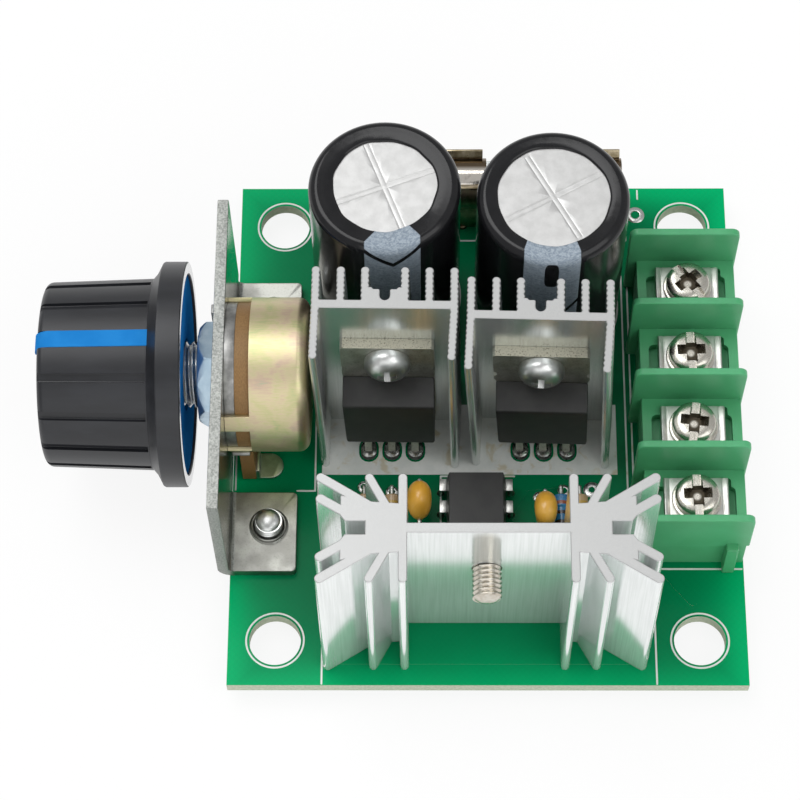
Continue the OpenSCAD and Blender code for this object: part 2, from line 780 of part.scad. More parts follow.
// blue insert: sleeve, back plate, web, hub with the shaft's bore, and the pointer
module knob_core() {
    color("royalblue") on_board() knob_turned() rotate(180 - pointer_tilt) {
        difference() {
            union() {
                difference() {
                    translate([0, 0, core_back])
                        cylinder(r = core_r - press_gap, h = knob_len - end_wall - core_back);
                    translate([0, 0, -cut])
                        cylinder(r = core_r - core_wall, h = knob_len - end_wall - core_web + cut);
                }
                difference() {
                    translate([0, 0, core_back]) cylinder(r = skirt_d / 2 - shell_wall - press_gap, h = back_t);
                    cylinder(r = back_bore_r, h = core_back + back_t + cut);
                }
                translate([0, 0, skirt_x - hub_front])
                    cylinder(r = hub_r, h = knob_len - end_wall - skirt_x + hub_front);
            }
            cylinder(r = shaft_d / 2 + running_gap, h = skirt_x - shaft_end);
        }
        intersection() {
            pointer_slot();
            rotate_extrude() intersection() {
                pointer_section();
                translate([pointer_in_r, 0]) square([skirt_d, knob_len + skirt_d]);
            }
        }
    }
}

// --------------------------------------------------------------- capacitors

// half section of the can: flat top, rounded edge and the crimped groove
module can_section(r, z0) {
    difference() {
        union() {
            translate([0, z0]) square([r, cap_h - disc_drop / 2 - z0 - cap_edge_r]);
            translate([0, z0]) square([r - cap_edge_r, cap_h - disc_drop / 2 - z0]);
            translate([r - cap_edge_r, cap_h - disc_drop / 2 - cap_edge_r]) circle(r = cap_edge_r);
        }
        translate([r + crimp_r - crimp_depth, crimp_z]) circle(r = crimp_r);
    }
}

module capacitor_can(s, vent_turn) {
    color("whitesmoke") on_board() translate([s[0], s[1], 0]) difference() {
        rotate_extrude() can_section(can_in_r - press_gap, 0.3);
        translate([0, 0, -cut]) cylinder(r = bung_r + press_gap, h = bung_h + cut);
        for (a = [0, 90])
            rotate(a + vent_turn) translate([-cap_disc_d * 0.48, -vent_w / 2, cap_h - disc_drop / 2 - vent_depth])
                cube([cap_disc_d * 0.96, vent_w, vent_depth + cut]);
    }
}

// shrunk sleeve, turned in over the top and under the bottom edge
module capacitor_sleeve(s) {
    color("#1c1d21") on_board() translate([s[0], s[1], 0]) rotate_extrude() difference() {
        union() {
            square([cap_r, cap_h - cap_edge_r]);
            square([cap_r - cap_edge_r, cap_h]);
            translate([cap_r - cap_edge_r, cap_h - cap_edge_r]) circle(r = cap_edge_r);
        }
        translate([cap_r + crimp_r - crimp_depth, crimp_z]) circle(r = crimp_r);
        can_section(can_in_r, 0.3);
        square([cap_disc_d / 2, cap_h + cut]);
        square([bung_r + press_gap, cap_h + cut]);
    }
}

module capacitor_bung(s) {
    color("#333333") on_board() translate([s[0], s[1], 0]) difference() {
        cylinder(r = bung_r, h = bung_h);
        for (k = [-1, 1]) translate([0, k * cap_pitch / 2, -cut])
            cylinder(d = cap_lead_d + 2 * press_gap, h = bung_h + 2 * cut);
    }
}

module capacitor_leads() {
    color("silver") on_board()
        for (s = cap_spots, k = [-1, 1]) translate([s[0], s[1] + k * cap_pitch / 2, -board_t])
            cylinder(d = cap_lead_d, h = board_t + bung_h);
}

module capacitor_left_can() capacitor_can(cap_spots[0], vent_turn_left);
module capacitor_left_sleeve() capacitor_sleeve(cap_spots[0]);
module capacitor_left_bung() capacitor_bung(cap_spots[0]);
module capacitor_right_can() capacitor_can(cap_spots[1], vent_turn_right);
module capacitor_right_sleeve() capacitor_sleeve(cap_spots[1]);
module capacitor_right_bung() capacitor_bung(cap_spots[1]);

// --------------------------------------------------------------------- fuse

module along_fuse(x) {
    translate([x, fuse_y, fuse_z]) rotate([0, 90, 0]) children();
}

module fuse_wire() {
    color("silver") on_board()
        along_fuse(fuse_x - fuse_len / 2 + cap_floor)
            cylinder(d = fuse_wire_d, h = fuse_len - 2 * cap_floor, $fn = 24);
}

module fuse_glass() {
    color("lightcyan") on_board() along_fuse(fuse_x - fuse_len / 2 + cap_floor) difference() {
        cylinder(r = glass_r, h = fuse_len - 2 * cap_floor);
        translate([0, 0, -cut]) cylinder(r = glass_bore_r, h = fuse_len + 2 * cut);
    }
}

module fuse_caps() {
    color("silver") on_board() for (m = [0, 1])
        translate([fuse_x, 0, 0]) mirror([m, 0, 0]) along_fuse(-fuse_len / 2) difference() {
            cylinder(d = fuse_d, h = fuse_cap_len);
            translate([0, 0, cap_floor]) cylinder(r = glass_r + press_gap, h = fuse_cap_len);
        }
}

// clip section across the fuse: an open ring, two flared lips and the legs
module clip_section() {
    difference() {
        circle(r = clip_out_r);
        circle(r = clip_in_r);
        polygon([[0, 0], [clip_out_r * 2, clip_out_r * 2 / tan(clip_open)],
            [clip_out_r * 2, clip_out_r * 3], [-clip_out_r * 2, clip_out_r * 3],
            [-clip_out_r * 2, clip_out_r * 2 / tan(clip_open)]]);
    }
    mid_r = (clip_in_r + clip_out_r) / 2;
    lip = [mid_r * sin(clip_open), mid_r * cos(clip_open)];
    for (k = [-1, 1])
        bar([k * lip[0], lip[1]], [k * (lip[0] + 0.5), lip[1] + 0.5], clip_t);
    // strap under the fuse and its legs down to the board
    translate([-clip_pin_y - clip_t / 2, -fuse_z]) square([2 * clip_pin_y + clip_t, clip_t]);
    difference() {
        for (k = [-1, 1])
            translate([k * clip_pin_y - clip_t / 2, -fuse_z]) square([clip_t, fuse_z - clip_in_r * 0.78]);
        circle(r = clip_in_r);
    }
}

module fuse_clips() {
    color("silver") on_board() for (x = clip_xs) {
        translate([x, fuse_y, fuse_z]) rotate([90, 0, 90]) linear_extrude(clip_w) clip_section();
        for (k = [-1, 1]) translate([x + clip_w / 2, fuse_y + k * clip_pin_y, -board_t])
            cylinder(d = clip_pin_d, h = board_t + clip_t / 2);
    }
}

// --------------------------------------------------------------- heatsinks

// rear heatsink section, web front face on Y = 0
module rear_section() {
    translate([-rear_half, 0]) square([rear_sink_w, rear_web_t]);
    for (k = [-1, 1]) {
        x = k * (rear_half - rear_fin_t / 2);
        bar([x, 0], [x, -rear_sink_front + rear_fin_t / 2], rear_fin_t);
        bar([x, 0], [x, rear_web_t + rear_sink_back - rear_fin_t / 2], rear_fin_t);
        for (u = rear_inner)
            bar([k * u, 0], [k * u, rear_web_t + rear_sink_back - rear_fin_t / 2], rear_fin_t);
    }
    difference() {
        translate([-boss_half - cut / 4, rear_web_t / 2])
            square([2 * boss_half + cut / 2, boss_t + rear_web_t / 2]);
        translate([-boss_slot / 2, rear_web_t + boss_slot / 2]) square([boss_slot, boss_t + cut]);
        translate([0, rear_web_t + boss_slot / 2]) circle(d = boss_slot);
    }
}

module rear_heatsink(x, y) {
    color("gainsboro") on_board() translate([x, y, 0]) difference() {
        linear_extrude(rear_sink_h) rear_section();
        translate([dev_shift, -cut, dev_hole_z]) rotate([-90, 0, 0])
            cylinder(r = bore_r, h = rear_web_t + boss_t + 2 * cut);
    }
}

module heatsink_left() rear_heatsink(rear_left_x, rear_left_y);
module heatsink_right() rear_heatsink(rear_right_x, rear_right_y);

// one quarter of the front heatsink's branching end, right and rear
module front_quarter() {
    // solid root that the fins branch from
    polygon([[bay_half, 0], [bay_half, hub_v], [slot_u - 0.6, hub_v + 0.25],
        [arm_u, hub_v + 0.9], [arm_u, slot_v + 0.6], [slot_u + 2, slot_v], [slot_u, slot_v], [slot_u, 0]]);
    bar([bay_half + fin_r, 0], [bay_half + fin_r, front_half_d - fin_r], front_fin_t);
    bar([bay_half + 2, hub_v - 0.4], [bay_half + 3.75, front_half_d - fin_r], front_fin_t);
    bar([slot_u - 0.4, hub_v - 0.2], [front_half_w - fin_r, front_half_d - fin_r], front_fin_t * 1.1);
    bar([slot_u + 1.6, slot_v + 0.7], [front_half_w - fin_r, front_half_d * 0.53], front_fin_t * 1.1);
}

module front_section() {
    translate([-bay_half - cut / 2, -front_web_t / 2]) square([front_bay_w + cut, front_web_t]);
    for (mx = [0, 1], my = [0, 1])
        mirror([mx, 0]) mirror([0, my]) front_quarter();
}

module heatsink_front() {
    color("gainsboro") on_board() translate([front_sink_x, front_sink_y, 0]) difference() {
        linear_extrude(front_sink_h) front_section();
        translate([0, -front_web_t - cut, dev_hole_z]) rotate([-90, 0, 0])
            cylinder(r = bore_r, h = 2 * front_web_t + 2 * cut);
    }
}

// ----------------------------------------------------------- TO-220 devices

// stands the children, drawn with the tab's back on Y = 0 and the body on -Y, at a heatsink
module at_sink(s) {
    on_board() translate([s[0], s[1], 0]) rotate(s[2] > 0 ? 180 : 0) children();
}

module device_frame(s) {
    color("silver") at_sink(s) {
        difference() {
            translate([-dev_w / 2, -dev_tab_t, dev_lift])
                cube([dev_w, dev_tab_t, dev_body_h + dev_tab_h]);
            translate([0, -dev_tab_t - cut, dev_hole_z]) rotate([-90, 0, 0])
                cylinder(d = dev_hole_d, h = dev_tab_t + 2 * cut);
        }
        // leads that jog forward and go down through the board
        for (i = [-1:1]) translate([i * dev_pitch - dev_leg_w / 2, 0, 0])
            rotate([90, 0, 90]) linear_extrude(dev_leg_w) polygon([
                [-dev_lead_y + dev_leg_t / 2, dev_lift], [-dev_lead_y - dev_leg_t / 2, dev_lift],
                [-dev_foot_y - dev_leg_t / 2, dev_leg_t], [-dev_foot_y - dev_leg_t / 2, -board_t],
                [-dev_foot_y + dev_leg_t / 2, -board_t], [-dev_foot_y + dev_leg_t / 2, dev_leg_t]]);
    }
}

module device_body(s) {
    color("#232428") at_sink(s) difference() {
        translate([-dev_w / 2, 0, dev_lift]) rotate([90, 0, 90]) linear_extrude(dev_w)
            polygon([[-dev_tab_t, 0], [-dev_tab_t, dev_body_h], [-dev_t + dev_edge, dev_body_h],
                [-dev_t, dev_body_h - dev_edge * 2], [-dev_t, dev_edge / 2], [-dev_t + dev_edge / 2, 0]]);
        // dimples that the ejector pins leave beside the tab
        for (k = [-1, 1]) translate([k * dev_w / 2, -dev_t / 2, dev_lift + dev_body_h - dimple_d])
            rotate([90, 0, 0]) cylinder(d = dimple_d, h = dev_t, center = true, $fn = 32);
    }
}

module transistor_left_frame() device_frame(dev_left);
module transistor_left_body() device_body(dev_left);
module transistor_right_frame() device_frame(dev_right);
module transistor_right_body() device_body(dev_right);
module regulator_frame() device_frame(dev_front);
module regulator_body() device_body(dev_front);

// screw whose head bears on the tab and whose end is past the tab's back
module device_screw(s, past) {
    at_sink(s) translate([0, -dev_tab_t, dev_hole_z]) rotate([90, 0, 0])
        machine_screw(dev_tab_t + past);
}

module transistor_screws() {
    color("silver") {
        device_screw(dev_left, rear_web_t + boss_t);
        device_screw(dev_right, rear_web_t + boss_t);
    }
}

module regulator_screw() {
    color("silver") device_screw(dev_front, front_web_t + front_screw_out);
}

// --------------------------------------------------------------- timer chip

module timer_body() {
    color("#2b2b2e") on_board() translate([chip_x, chip_y, chip_lift]) difference() {
        rotate([90, 0, 0]) linear_extrude(chip_len, center = true)
            polygon([for (k = [-1, 1], j = [-k, 0, k])
                [k * (chip_w / 2 - abs(j) * chip_draft), (1 + j) * chip_h / 2]]);
        // notch at the end that carries pin one
        translate([0, chip_len / 2, chip_h - notch_depth]) cylinder(r = notch_r, h = chip_h);
    }
}

module timer_pins() {
    color("silver") on_board()
        for (k = [-1, 1], j = [-1.5:1.5]) translate([chip_x, chip_y + j * pin_pitch, 0]) {
            x = k * row_pitch / 2;
            z = chip_lift + chip_h / 2;
            translate([k > 0 ? chip_w / 2 : x - pin_t / 2, -pin_shoulder_w / 2, z - pin_t / 2])
                cube([(row_pitch + pin_t - chip_w) / 2, pin_shoulder_w, pin_t]);
            translate([x - pin_t / 2, -pin_shoulder_w / 2, z - pin_shoulder_h])
                cube([pin_t, pin_shoulder_w, pin_shoulder_h]);
            translate([x - pin_t / 2, -pin_w / 2, -board_t]) cube([pin_t, pin_w, board_t + z]);
        }
}

// -------------------------------------------------------------- small parts

module ceramic_capacitors() {
    color("goldenrod") on_board() for (s = bead_spots) translate([s[0], s[1], bead_z])
        rotate([0, 90, 0]) rotate_extrude()
            polygon([for (a = [-90:15:90])
                [bead_d / 2 * cos(a), bead_t / 2 * sin(a) * (1 - 0.25 * pow(cos(a), 4))]]);
}

module ceramic_leads() {
    color("silver") on_board() for (s = bead_spots, k = [-1, 1])
        translate([s[0], s[1] + k * bead_pitch / 2, -board_t]) {
            cylinder(d = wire_d, h = board_t + bead_z - bead_lead_drop, $fn = 24);
            translate([0, 0, board_t + bead_z - bead_lead_drop]) sphere(d = wire_d, $fn = 24);
            translate([0, 0, board_t + bead_z - bead_lead_drop]) rotate([k * 90, 0, 0])
                cylinder(d = wire_d, h = bead_pitch / 2 - bead_d / 2 * 0.985, $fn = 24);
        }
}

// axial body along Y with swollen ends, centred on its leads
module axial_body(x, d, w, len) {
    translate([x, res_y - res_pitch / 2, res_z]) rotate([90, 0, 0]) {
        cylinder(d = w, h = len, center = true);
        for (k = [-1, 1]) translate([0, 0, k * (len / 2 - d * 0.4)]) intersection() {
            cylinder(d = d, h = d * 0.8, center = true);
            sphere(r = d * 0.6);
        }
    }
}

module blue_resistor() {
    color("dodgerblue") on_board() axial_body(blue_x, res_d, waist_d, res_len);
}

module tan_resistors() {
    color("tan") on_board() for (x = tan_xs) axial_body(x, res_d, waist_d, res_len);
}

module signal_diode() {
    color("firebrick") on_board() translate([diode_x, res_y - res_pitch / 2, res_z])
        rotate([90, 0, 0]) cylinder(d = diode_d, h = diode_len, center = true);
}

module resistor_leads() {
    color("silver") on_board() for (x = concat([blue_x, diode_x], tan_xs), k = [-1, 1])
        translate([x, res_y - res_pitch / 2, 0]) {
            half = x == diode_x ? diode_len / 2 : res_len / 2;
            translate([0, k * res_pitch / 2, -board_t]) cylinder(d = wire_d, h = board_t + res_z, $fn = 24);
            translate([0, k * res_pitch / 2, res_z]) sphere(d = wire_d, $fn = 24);
            translate([0, k * res_pitch / 2, res_z]) rotate([k * 90, 0, 0])
                cylinder(d = wire_d, h = res_pitch / 2 - half, $fn = 24);
        }
}

// ----------------------------------------------------------- terminal block

module barrier_section() {
    square([block_w, barrier_h - barrier_r]);
    translate([barrier_r, 0]) square([block_w - 2 * barrier_r, barrier_h]);
    for (x = [barrier_r, block_w - barrier_r])
        translate([x, barrier_h - barrier_r]) circle(r = barrier_r);
}

module terminal_housing() {
    color("mediumseagreen") on_board() difference() {
        union() {
            translate([floor_x, block_y, 0]) cube([floor_w, block_len, floor_h]);
            for (i = [0:ways]) translate([block_x, block_y + i * way_pitch + barrier_t, 0])
                rotate([90, 0, 0]) linear_extrude(barrier_t) barrier_section();
            // rib by which two blocks key together
            translate([block_x + block_w - key_rib[0] - key_inset, block_y - key_rib[1], 0])
                cube([key_rib[0], key_rib[1] + cut / 2, floor_h]);
        }
        for (i = [0:ways - 1]) translate([screw_x, way_y(i), 0]) {
            translate([-well_len / 2 - well_gap, -well_w / 2 - well_gap, contact_z])
                cube([well_len + 2 * well_gap, well_w + 2 * well_gap, well_depth + cut]);
            translate([0, 0, clamp_head_z - clamp_shank - 2 * well_gap])
                cylinder(r = clamp_bore_r + well_gap, h = floor_h);
        }
        // slots for the contacts' legs
        for (i = [0:ways - 1])
            translate([floor_x + leg_x - leg_w / 2 - well_gap, way_y(i) - leg_w / 2 - well_gap, -cut])
                cube([leg_w + 2 * well_gap, leg_w + 2 * well_gap, floor_h + 2 * cut]);
    }
}

module terminal_contacts() {
    color("silver") on_board() for (i = [0:ways - 1]) {
        difference() {
            translate([screw_x - well_len / 2, way_y(i) - well_w / 2, contact_z])
                cube([well_len, well_w, contact_t]);
            translate([screw_x, way_y(i), contact_z - cut]) cylinder(r = clamp_bore_r, h = contact_t + 2 * cut);
        }
        translate([floor_x + leg_x - leg_w / 2, way_y(i) - leg_w / 2, 0])
            cube([leg_w, leg_w, plate_z]);
        translate([floor_x + leg_x, way_y(i) - leg_w / 2, floor_h])
            cube([screw_x - well_len / 2 - floor_x - leg_x + cut / 2, leg_w, contact_rise]);
        translate([floor_x + leg_x, way_y(i), -board_t])
            cylinder(d = leg_w, h = board_t + cut / 2);
    }
}

// square washer with a raised wing on each side of the screw
module clamp_washer(i) {
    color("gainsboro") on_board() translate([screw_x, way_y(i), plate_z]) difference() {
        union() {
            translate([-clamp_len / 2, -clamp_w / 2, 0]) cube([clamp_len, clamp_w, clamp_t]);
            for (x = [-clamp_len / 2, clamp_len / 2 - wing_t])
                translate([x, -clamp_w / 2, 0]) cube([wing_t, clamp_w, clamp_t + wing_h]);
        }
        translate([0, 0, -cut]) cylinder(r = clamp_bore_r, h = clamp_t + wing_h + 2 * cut);
    }
}

module terminal_screw(i) {
    color("silver") on_board() translate([screw_x, way_y(i), clamp_head_z]) {
        pan_head(clamp_head_d, clamp_head_h, cross_w, 2.2);
        translate([0, 0, -clamp_shank]) cylinder(d = clamp_screw_d, h = clamp_shank + clamp_head_h * 0.3);
    }
}

module clamp_1() clamp_washer(0);
module clamp_2() clamp_washer(1);
module clamp_3() clamp_washer(2);
module clamp_4() clamp_washer(3);
module terminal_screw_1() terminal_screw(0);
module terminal_screw_2() terminal_screw(1);
module terminal_screw_3() terminal_screw(2);
module terminal_screw_4() terminal_screw(3);

circuit_board();
solder_joints();
pot_bracket();
bracket_screws();
pot_front_plate();
pot_bushing();
pot_nut();
pot_wafer();
pot_can();
pot_terminals();
pot_shaft();
pot_rotor();
knob_shell();
knob_core();
capacitor_left_can();
capacitor_left_sleeve();
capacitor_left_bung();
capacitor_right_can();
capacitor_right_sleeve();
capacitor_right_bung();
capacitor_leads();
fuse_clips();
fuse_glass();
fuse_caps();
fuse_wire();
heatsink_left();
heatsink_right();
heatsink_front();
transistor_left_frame();
transistor_left_body();
transistor_right_frame();
transistor_right_body();
regulator_frame();
regulator_body();
transistor_screws();
regulator_screw();
timer_body();
timer_pins();
ceramic_capacitors();
ceramic_leads();
blue_resistor();
tan_resistors();
signal_diode();
resistor_leads();
terminal_housing();
terminal_contacts();
clamp_1();
clamp_2();
clamp_3();
clamp_4();
terminal_screw_1();
terminal_screw_2();
terminal_screw_3();
terminal_screw_4();
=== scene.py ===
import json
import bpy
import bmesh
from math import atan2, cos, degrees, hypot, pi, radians, sin
from mathutils import Matrix, Vector


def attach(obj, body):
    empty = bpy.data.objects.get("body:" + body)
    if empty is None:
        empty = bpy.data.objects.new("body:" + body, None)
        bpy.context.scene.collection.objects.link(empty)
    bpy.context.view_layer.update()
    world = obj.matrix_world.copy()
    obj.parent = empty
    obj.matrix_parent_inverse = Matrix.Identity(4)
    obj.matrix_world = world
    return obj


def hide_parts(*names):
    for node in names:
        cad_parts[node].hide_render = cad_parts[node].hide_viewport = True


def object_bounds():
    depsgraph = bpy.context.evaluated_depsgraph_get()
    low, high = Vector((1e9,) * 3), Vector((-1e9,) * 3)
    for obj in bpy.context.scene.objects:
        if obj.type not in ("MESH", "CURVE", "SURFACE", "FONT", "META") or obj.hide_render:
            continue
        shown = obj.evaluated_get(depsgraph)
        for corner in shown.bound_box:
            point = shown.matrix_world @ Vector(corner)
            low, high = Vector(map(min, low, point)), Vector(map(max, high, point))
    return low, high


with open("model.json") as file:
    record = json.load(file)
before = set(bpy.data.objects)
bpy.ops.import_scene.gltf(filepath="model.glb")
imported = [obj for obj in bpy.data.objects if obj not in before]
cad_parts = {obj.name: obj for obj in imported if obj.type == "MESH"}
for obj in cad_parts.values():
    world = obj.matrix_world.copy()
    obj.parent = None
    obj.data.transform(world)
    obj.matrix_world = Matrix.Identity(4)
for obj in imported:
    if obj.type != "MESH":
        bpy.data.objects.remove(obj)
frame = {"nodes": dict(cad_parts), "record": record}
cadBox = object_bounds()
nodes = frame["nodes"]
record = frame["record"]
bodyOf = {n: b for b, members in record["behaviour"]["bodies"].items() for n in members}
slotOf = {s["node"]: s["material_slot"] for s in record["subparts"]}
mm = 0.001

# the board's left front corner on its top face is where its own layout starts, in millimetres
board = {"width": 55, "depth": 60, "thick": 1.6, "holeInset": 5}


def at(x, y, z=0.0):
    return Vector((x - board["width"] / 2, y - board["depth"] / 2, z + board["thick"])) * mm


# shader expressions: arithmetic on a Value adds its Math nodes

def mathNode(operation, flipped=False):
    def work(self, *others):
        return self.graph.math(operation, *((*others, self) if flipped else (self, *others)))
    return work


class Value:
    def __init__(self, graph, socket):
        self.graph, self.socket = graph, socket

    __add__ = __radd__ = mathNode("ADD")
    __mul__ = __rmul__ = mathNode("MULTIPLY")
    __sub__, __rsub__ = mathNode("SUBTRACT"), mathNode("SUBTRACT", flipped=True)
    __truediv__, __rtruediv__ = mathNode("DIVIDE"), mathNode("DIVIDE", flipped=True)
    __pow__, __abs__ = mathNode("POWER"), mathNode("ABSOLUTE")
    __lt__, __gt__ = mathNode("LESS_THAN"), mathNode("GREATER_THAN")
    low, high = mathNode("MINIMUM"), mathNode("MAXIMUM")

    def step(self, start, end):
        # 0 before start and 1 after end, with an eased rise
        return self.graph.node("ShaderNodeMapRange", {"interpolation_type": "SMOOTHSTEP"},
                               {"Value": self, "From Min": start, "From Max": end})

    def inside(self, start, end, soft=0.02):
        return self.step(start - soft, start + soft) * (1 - self.step(end - soft, end + soft))


finishes = {}


class Graph:
    def __init__(self, name, owner=None, ending="ShaderNodeOutputMaterial"):
        # builds a new material of that name, or the nodes of another owner, such as the world
        self.name, self.owner = name, owner or bpy.data.materials.new(name)
        self.owner.use_nodes = True
        self.tree = self.owner.node_tree
        self.tree.nodes.clear()
        self.ending = self.tree.nodes.new(ending)
        self.places = {}

    def node(self, kind, settings=None, inputs=None, out=0):
        made = self.tree.nodes.new(kind)
        for key, value in (settings or {}).items():
            if key == "stops":
                ramp = made.color_ramp
                while len(ramp.elements) < len(value):
                    ramp.elements.new(1)
                for element, (place, tone) in zip(ramp.elements, value):
                    element.position = place
                    element.color = tone if len(tone) == 4 else (*tone, 1)
            else:
                setattr(made, key, value)
        for key, value in (inputs or {}).items():
            self.put(made.inputs[key], value)
        return Value(self, made.outputs[out])

    def put(self, socket, value):
        if isinstance(value, Value):
            self.tree.links.new(value.socket, socket)
        elif socket.type == "RGBA" and len(value) == 3:
            socket.default_value = (*value, 1)
        else:
            socket.default_value = value

    def math(self, operation, *terms):
        return self.node("ShaderNodeMath", {"operation": operation}, dict(enumerate(terms)))

    def vector(self, operation, *terms, **more):
        return self.node("ShaderNodeVectorMath", {"operation": operation},
                         {**dict(enumerate(terms)), **more})

    def millimetres(self):
        # the piece's own coordinates in millimetres
        if "mm" not in self.places:
            coords = self.node("ShaderNodeTexCoord", out="Object")
            self.places["mm"] = self.vector("SCALE", coords, Scale=1 / mm)
        return self.places["mm"]

    def split(self, name, make):
        # x, y and z of a vector, made once
        if name not in self.places:
            parts = self.node("ShaderNodeSeparateXYZ", None, {0: make()})
            self.places[name] = [Value(self, o) for o in parts.socket.node.outputs]
        return self.places[name]

    def axes(self):
        # x, y and z in millimetres from the board's left front corner on its top face
        corner = (board["width"] / 2, board["depth"] / 2, -board["thick"])
        return self.split("axes", lambda: self.vector("ADD", self.millimetres(), corner))

    def facing(self):
        # the face's own direction, along x, y and z
        return self.split("facing", lambda: self.node("ShaderNodeTexCoord", out="Normal"))

    def noise(self, scale, detail=3.0, rough=0.55, stretch=(1, 1, 1), distort=0.0, over=None):
        place = self.vector("MULTIPLY", over or self.millimetres(), stretch)
        return self.node("ShaderNodeTexNoise", None, {
            "Vector": place, "Scale": scale, "Detail": detail, "Roughness": rough, "Distortion": distort})

    def blend(self, factor, first, second):
        return self.node("ShaderNodeMix", {"data_type": "RGBA"}, {0: factor, 6: first, 7: second}, out=2)

    def ramp(self, place, *stops):
        return self.node("ShaderNodeValToRGB", {"stops": stops}, {"Fac": place})

    def bump(self, height, strength, distance=0.05, under=None):
        inputs = {"Height": height, "Strength": strength, "Distance": distance * mm}
        if under is not None:
            inputs["Normal"] = under
        return self.node("ShaderNodeBump", None, inputs)

    def surface(self, **inputs):
        # the finish itself: baseColor stands for the socket Base Color, and so on
        named = {}
        for key, value in inputs.items():
            words = key[0].upper() + "".join(" " + c if c.isupper() else c for c in key[1:])
            named[words.replace("Ior", "IOR")] = value
        self.close(self.node("ShaderNodeBsdfPrincipled", None, named))
        finishes[self.name] = self.owner

    def close(self, shader):
        self.tree.links.new(shader.socket, self.ending.inputs["Surface"])


def evenFinish(name, colour, rough, second=None, metal=0.0, patch=0.35, grain=9, stretch=(1, 1, 1),
               roughSpread=0.08, bump=0.15, depth=0.02, **extra):
    # colour that wanders a little, roughness that follows it, and a fine bump
    g = Graph(name)
    cloud = g.noise(patch, 4).step(0.35, 0.65)
    fine = g.noise(grain, 3, stretch=stretch)
    g.surface(baseColor=g.blend(cloud, colour, second or colour), metallic=metal,
              roughness=fine * roughSpread + (rough - roughSpread / 2), normal=g.bump(fine, bump, depth), **extra)


plainLooks = {
    "solder": {"colour": (0.62, 0.62, 0.60), "second": (0.52, 0.52, 0.51), "rough": 0.28, "metal": 1.0,
               "patch": 0.9, "grain": 3, "bump": 0.3, "depth": 0.05},
    "screwNickel": {"colour": (0.66, 0.62, 0.55), "second": (0.55, 0.50, 0.42), "rough": 0.22, "metal": 1.0,
                    "patch": 1.3, "grain": 12, "roughSpread": 0.12, "bump": 0.15},
    "screwBright": {"colour": (0.74, 0.75, 0.74), "second": (0.60, 0.61, 0.60), "rough": 0.32, "metal": 1.0,
                    "patch": 1.3, "grain": 12, "roughSpread": 0.1, "bump": 0.15},
    "turnedSteel": {"colour": (0.60, 0.61, 0.60), "second": (0.48, 0.49, 0.49), "rough": 0.26, "metal": 1.0,
                    "grain": 14, "stretch": (8, 1, 1), "bump": 0.2},
    "zincNut": {"colour": (0.60, 0.74, 0.84), "second": (0.50, 0.65, 0.76), "rough": 0.36, "metal": 0.85,
                "patch": 0.8, "grain": 10, "bump": 0.25},
    "tinned": {"colour": (0.66, 0.66, 0.63), "second": (0.54, 0.54, 0.51), "rough": 0.33, "metal": 1.0,
               "patch": 0.8, "grain": 8, "roughSpread": 0.16, "bump": 0.25},
    "clipBrass": {"colour": (0.50, 0.43, 0.30), "second": (0.27, 0.22, 0.13), "rough": 0.30, "metal": 1.0,
                  "patch": 0.9, "grain": 6, "roughSpread": 0.16, "bump": 0.3},
    "rotorBlack": {"colour": (0.02, 0.02, 0.02), "rough": 0.5},
    "rubber": {"colour": (0.03, 0.03, 0.03), "second": (0.045, 0.045, 0.042), "rough": 0.75, "bump": 0.4},
    "deviceBlack": {"colour": (0.016, 0.016, 0.016), "second": (0.022, 0.022, 0.021), "rough": 0.46,
                    "patch": 0.6, "grain": 18, "roughSpread": 0.14, "bump": 0.3, "depth": 0.03},
    "knobBlue": {"colour": (0.017, 0.20, 0.56), "second": (0.022, 0.225, 0.60), "rough": 0.5, "grain": 12,
                 "bump": 0.15, "specularIorLevel": 0.0},
    "beadOrange": {"colour": (0.92, 0.50, 0.07), "second": (0.80, 0.41, 0.045), "rough": 0.3, "grain": 4,
                   "bump": 0.35, "depth": 0.05, "coatWeight": 0.5, "coatRoughness": 0.15},
    "diodeRed": {"colour": (0.45, 0.11, 0.03), "second": (0.36, 0.08, 0.02), "rough": 0.12,
                 "coatWeight": 0.6, "coatRoughness": 0.06},
    "plateGrey": {"colour": (0.34, 0.34, 0.33), "second": (0.22, 0.22, 0.215), "rough": 0.42, "metal": 1.0,
                  "patch": 0.8, "grain": 6, "bump": 0.4, "depth": 0.03},
}
for name, look in plainLooks.items():
    evenFinish(name, **look)


def boardFinish():
    g = Graph("boardMask")
    x, y, _ = g.axes()
    cloud = g.noise(0.12, 3)
    threads = 7.8
    weave = (g.math("SINE", x * threads) * g.math("SINE", y * threads)) * 0.5 + 0.5
    # painted light: the mask is painted brighter towards the board's edges, as if daylight came in through the
    # laminate there
    inward = x.low(board["width"] - x).low(y + 1).low(board["depth"] - y).high(0)
    paintedEdgeLight = 1 / (1 + (inward * 0.34) ** 2)
    # painted shade: the mask's darker inner tone, away from the edges
    innerShadeTone = g.blend(cloud.step(0.3, 0.7), (0.0004, 0.150, 0.056), (0.0005, 0.172, 0.064))
    face = g.blend(paintedEdgeLight * 0.9, innerShadeTone, (0.001, 0.44, 0.15))
    face = g.blend(weave * 0.05, face, (0.0, 0.05, 0.02))
    side = 1 - abs(g.facing()[2]).step(0.5, 0.8)
    edge = g.blend(g.noise(3, 4).step(0.3, 0.7), (0.56, 0.59, 0.47), (0.44, 0.49, 0.37))
    tone = g.blend(side, face, edge)
    rough = side * 0.3 + 0.22
    grain = g.noise(1.6, 3)
    fine = g.bump(weave + grain * 2, 0.12, 0.02)
    g.surface(baseColor=tone, roughness=rough, normal=fine, specularIorLevel=0.05)


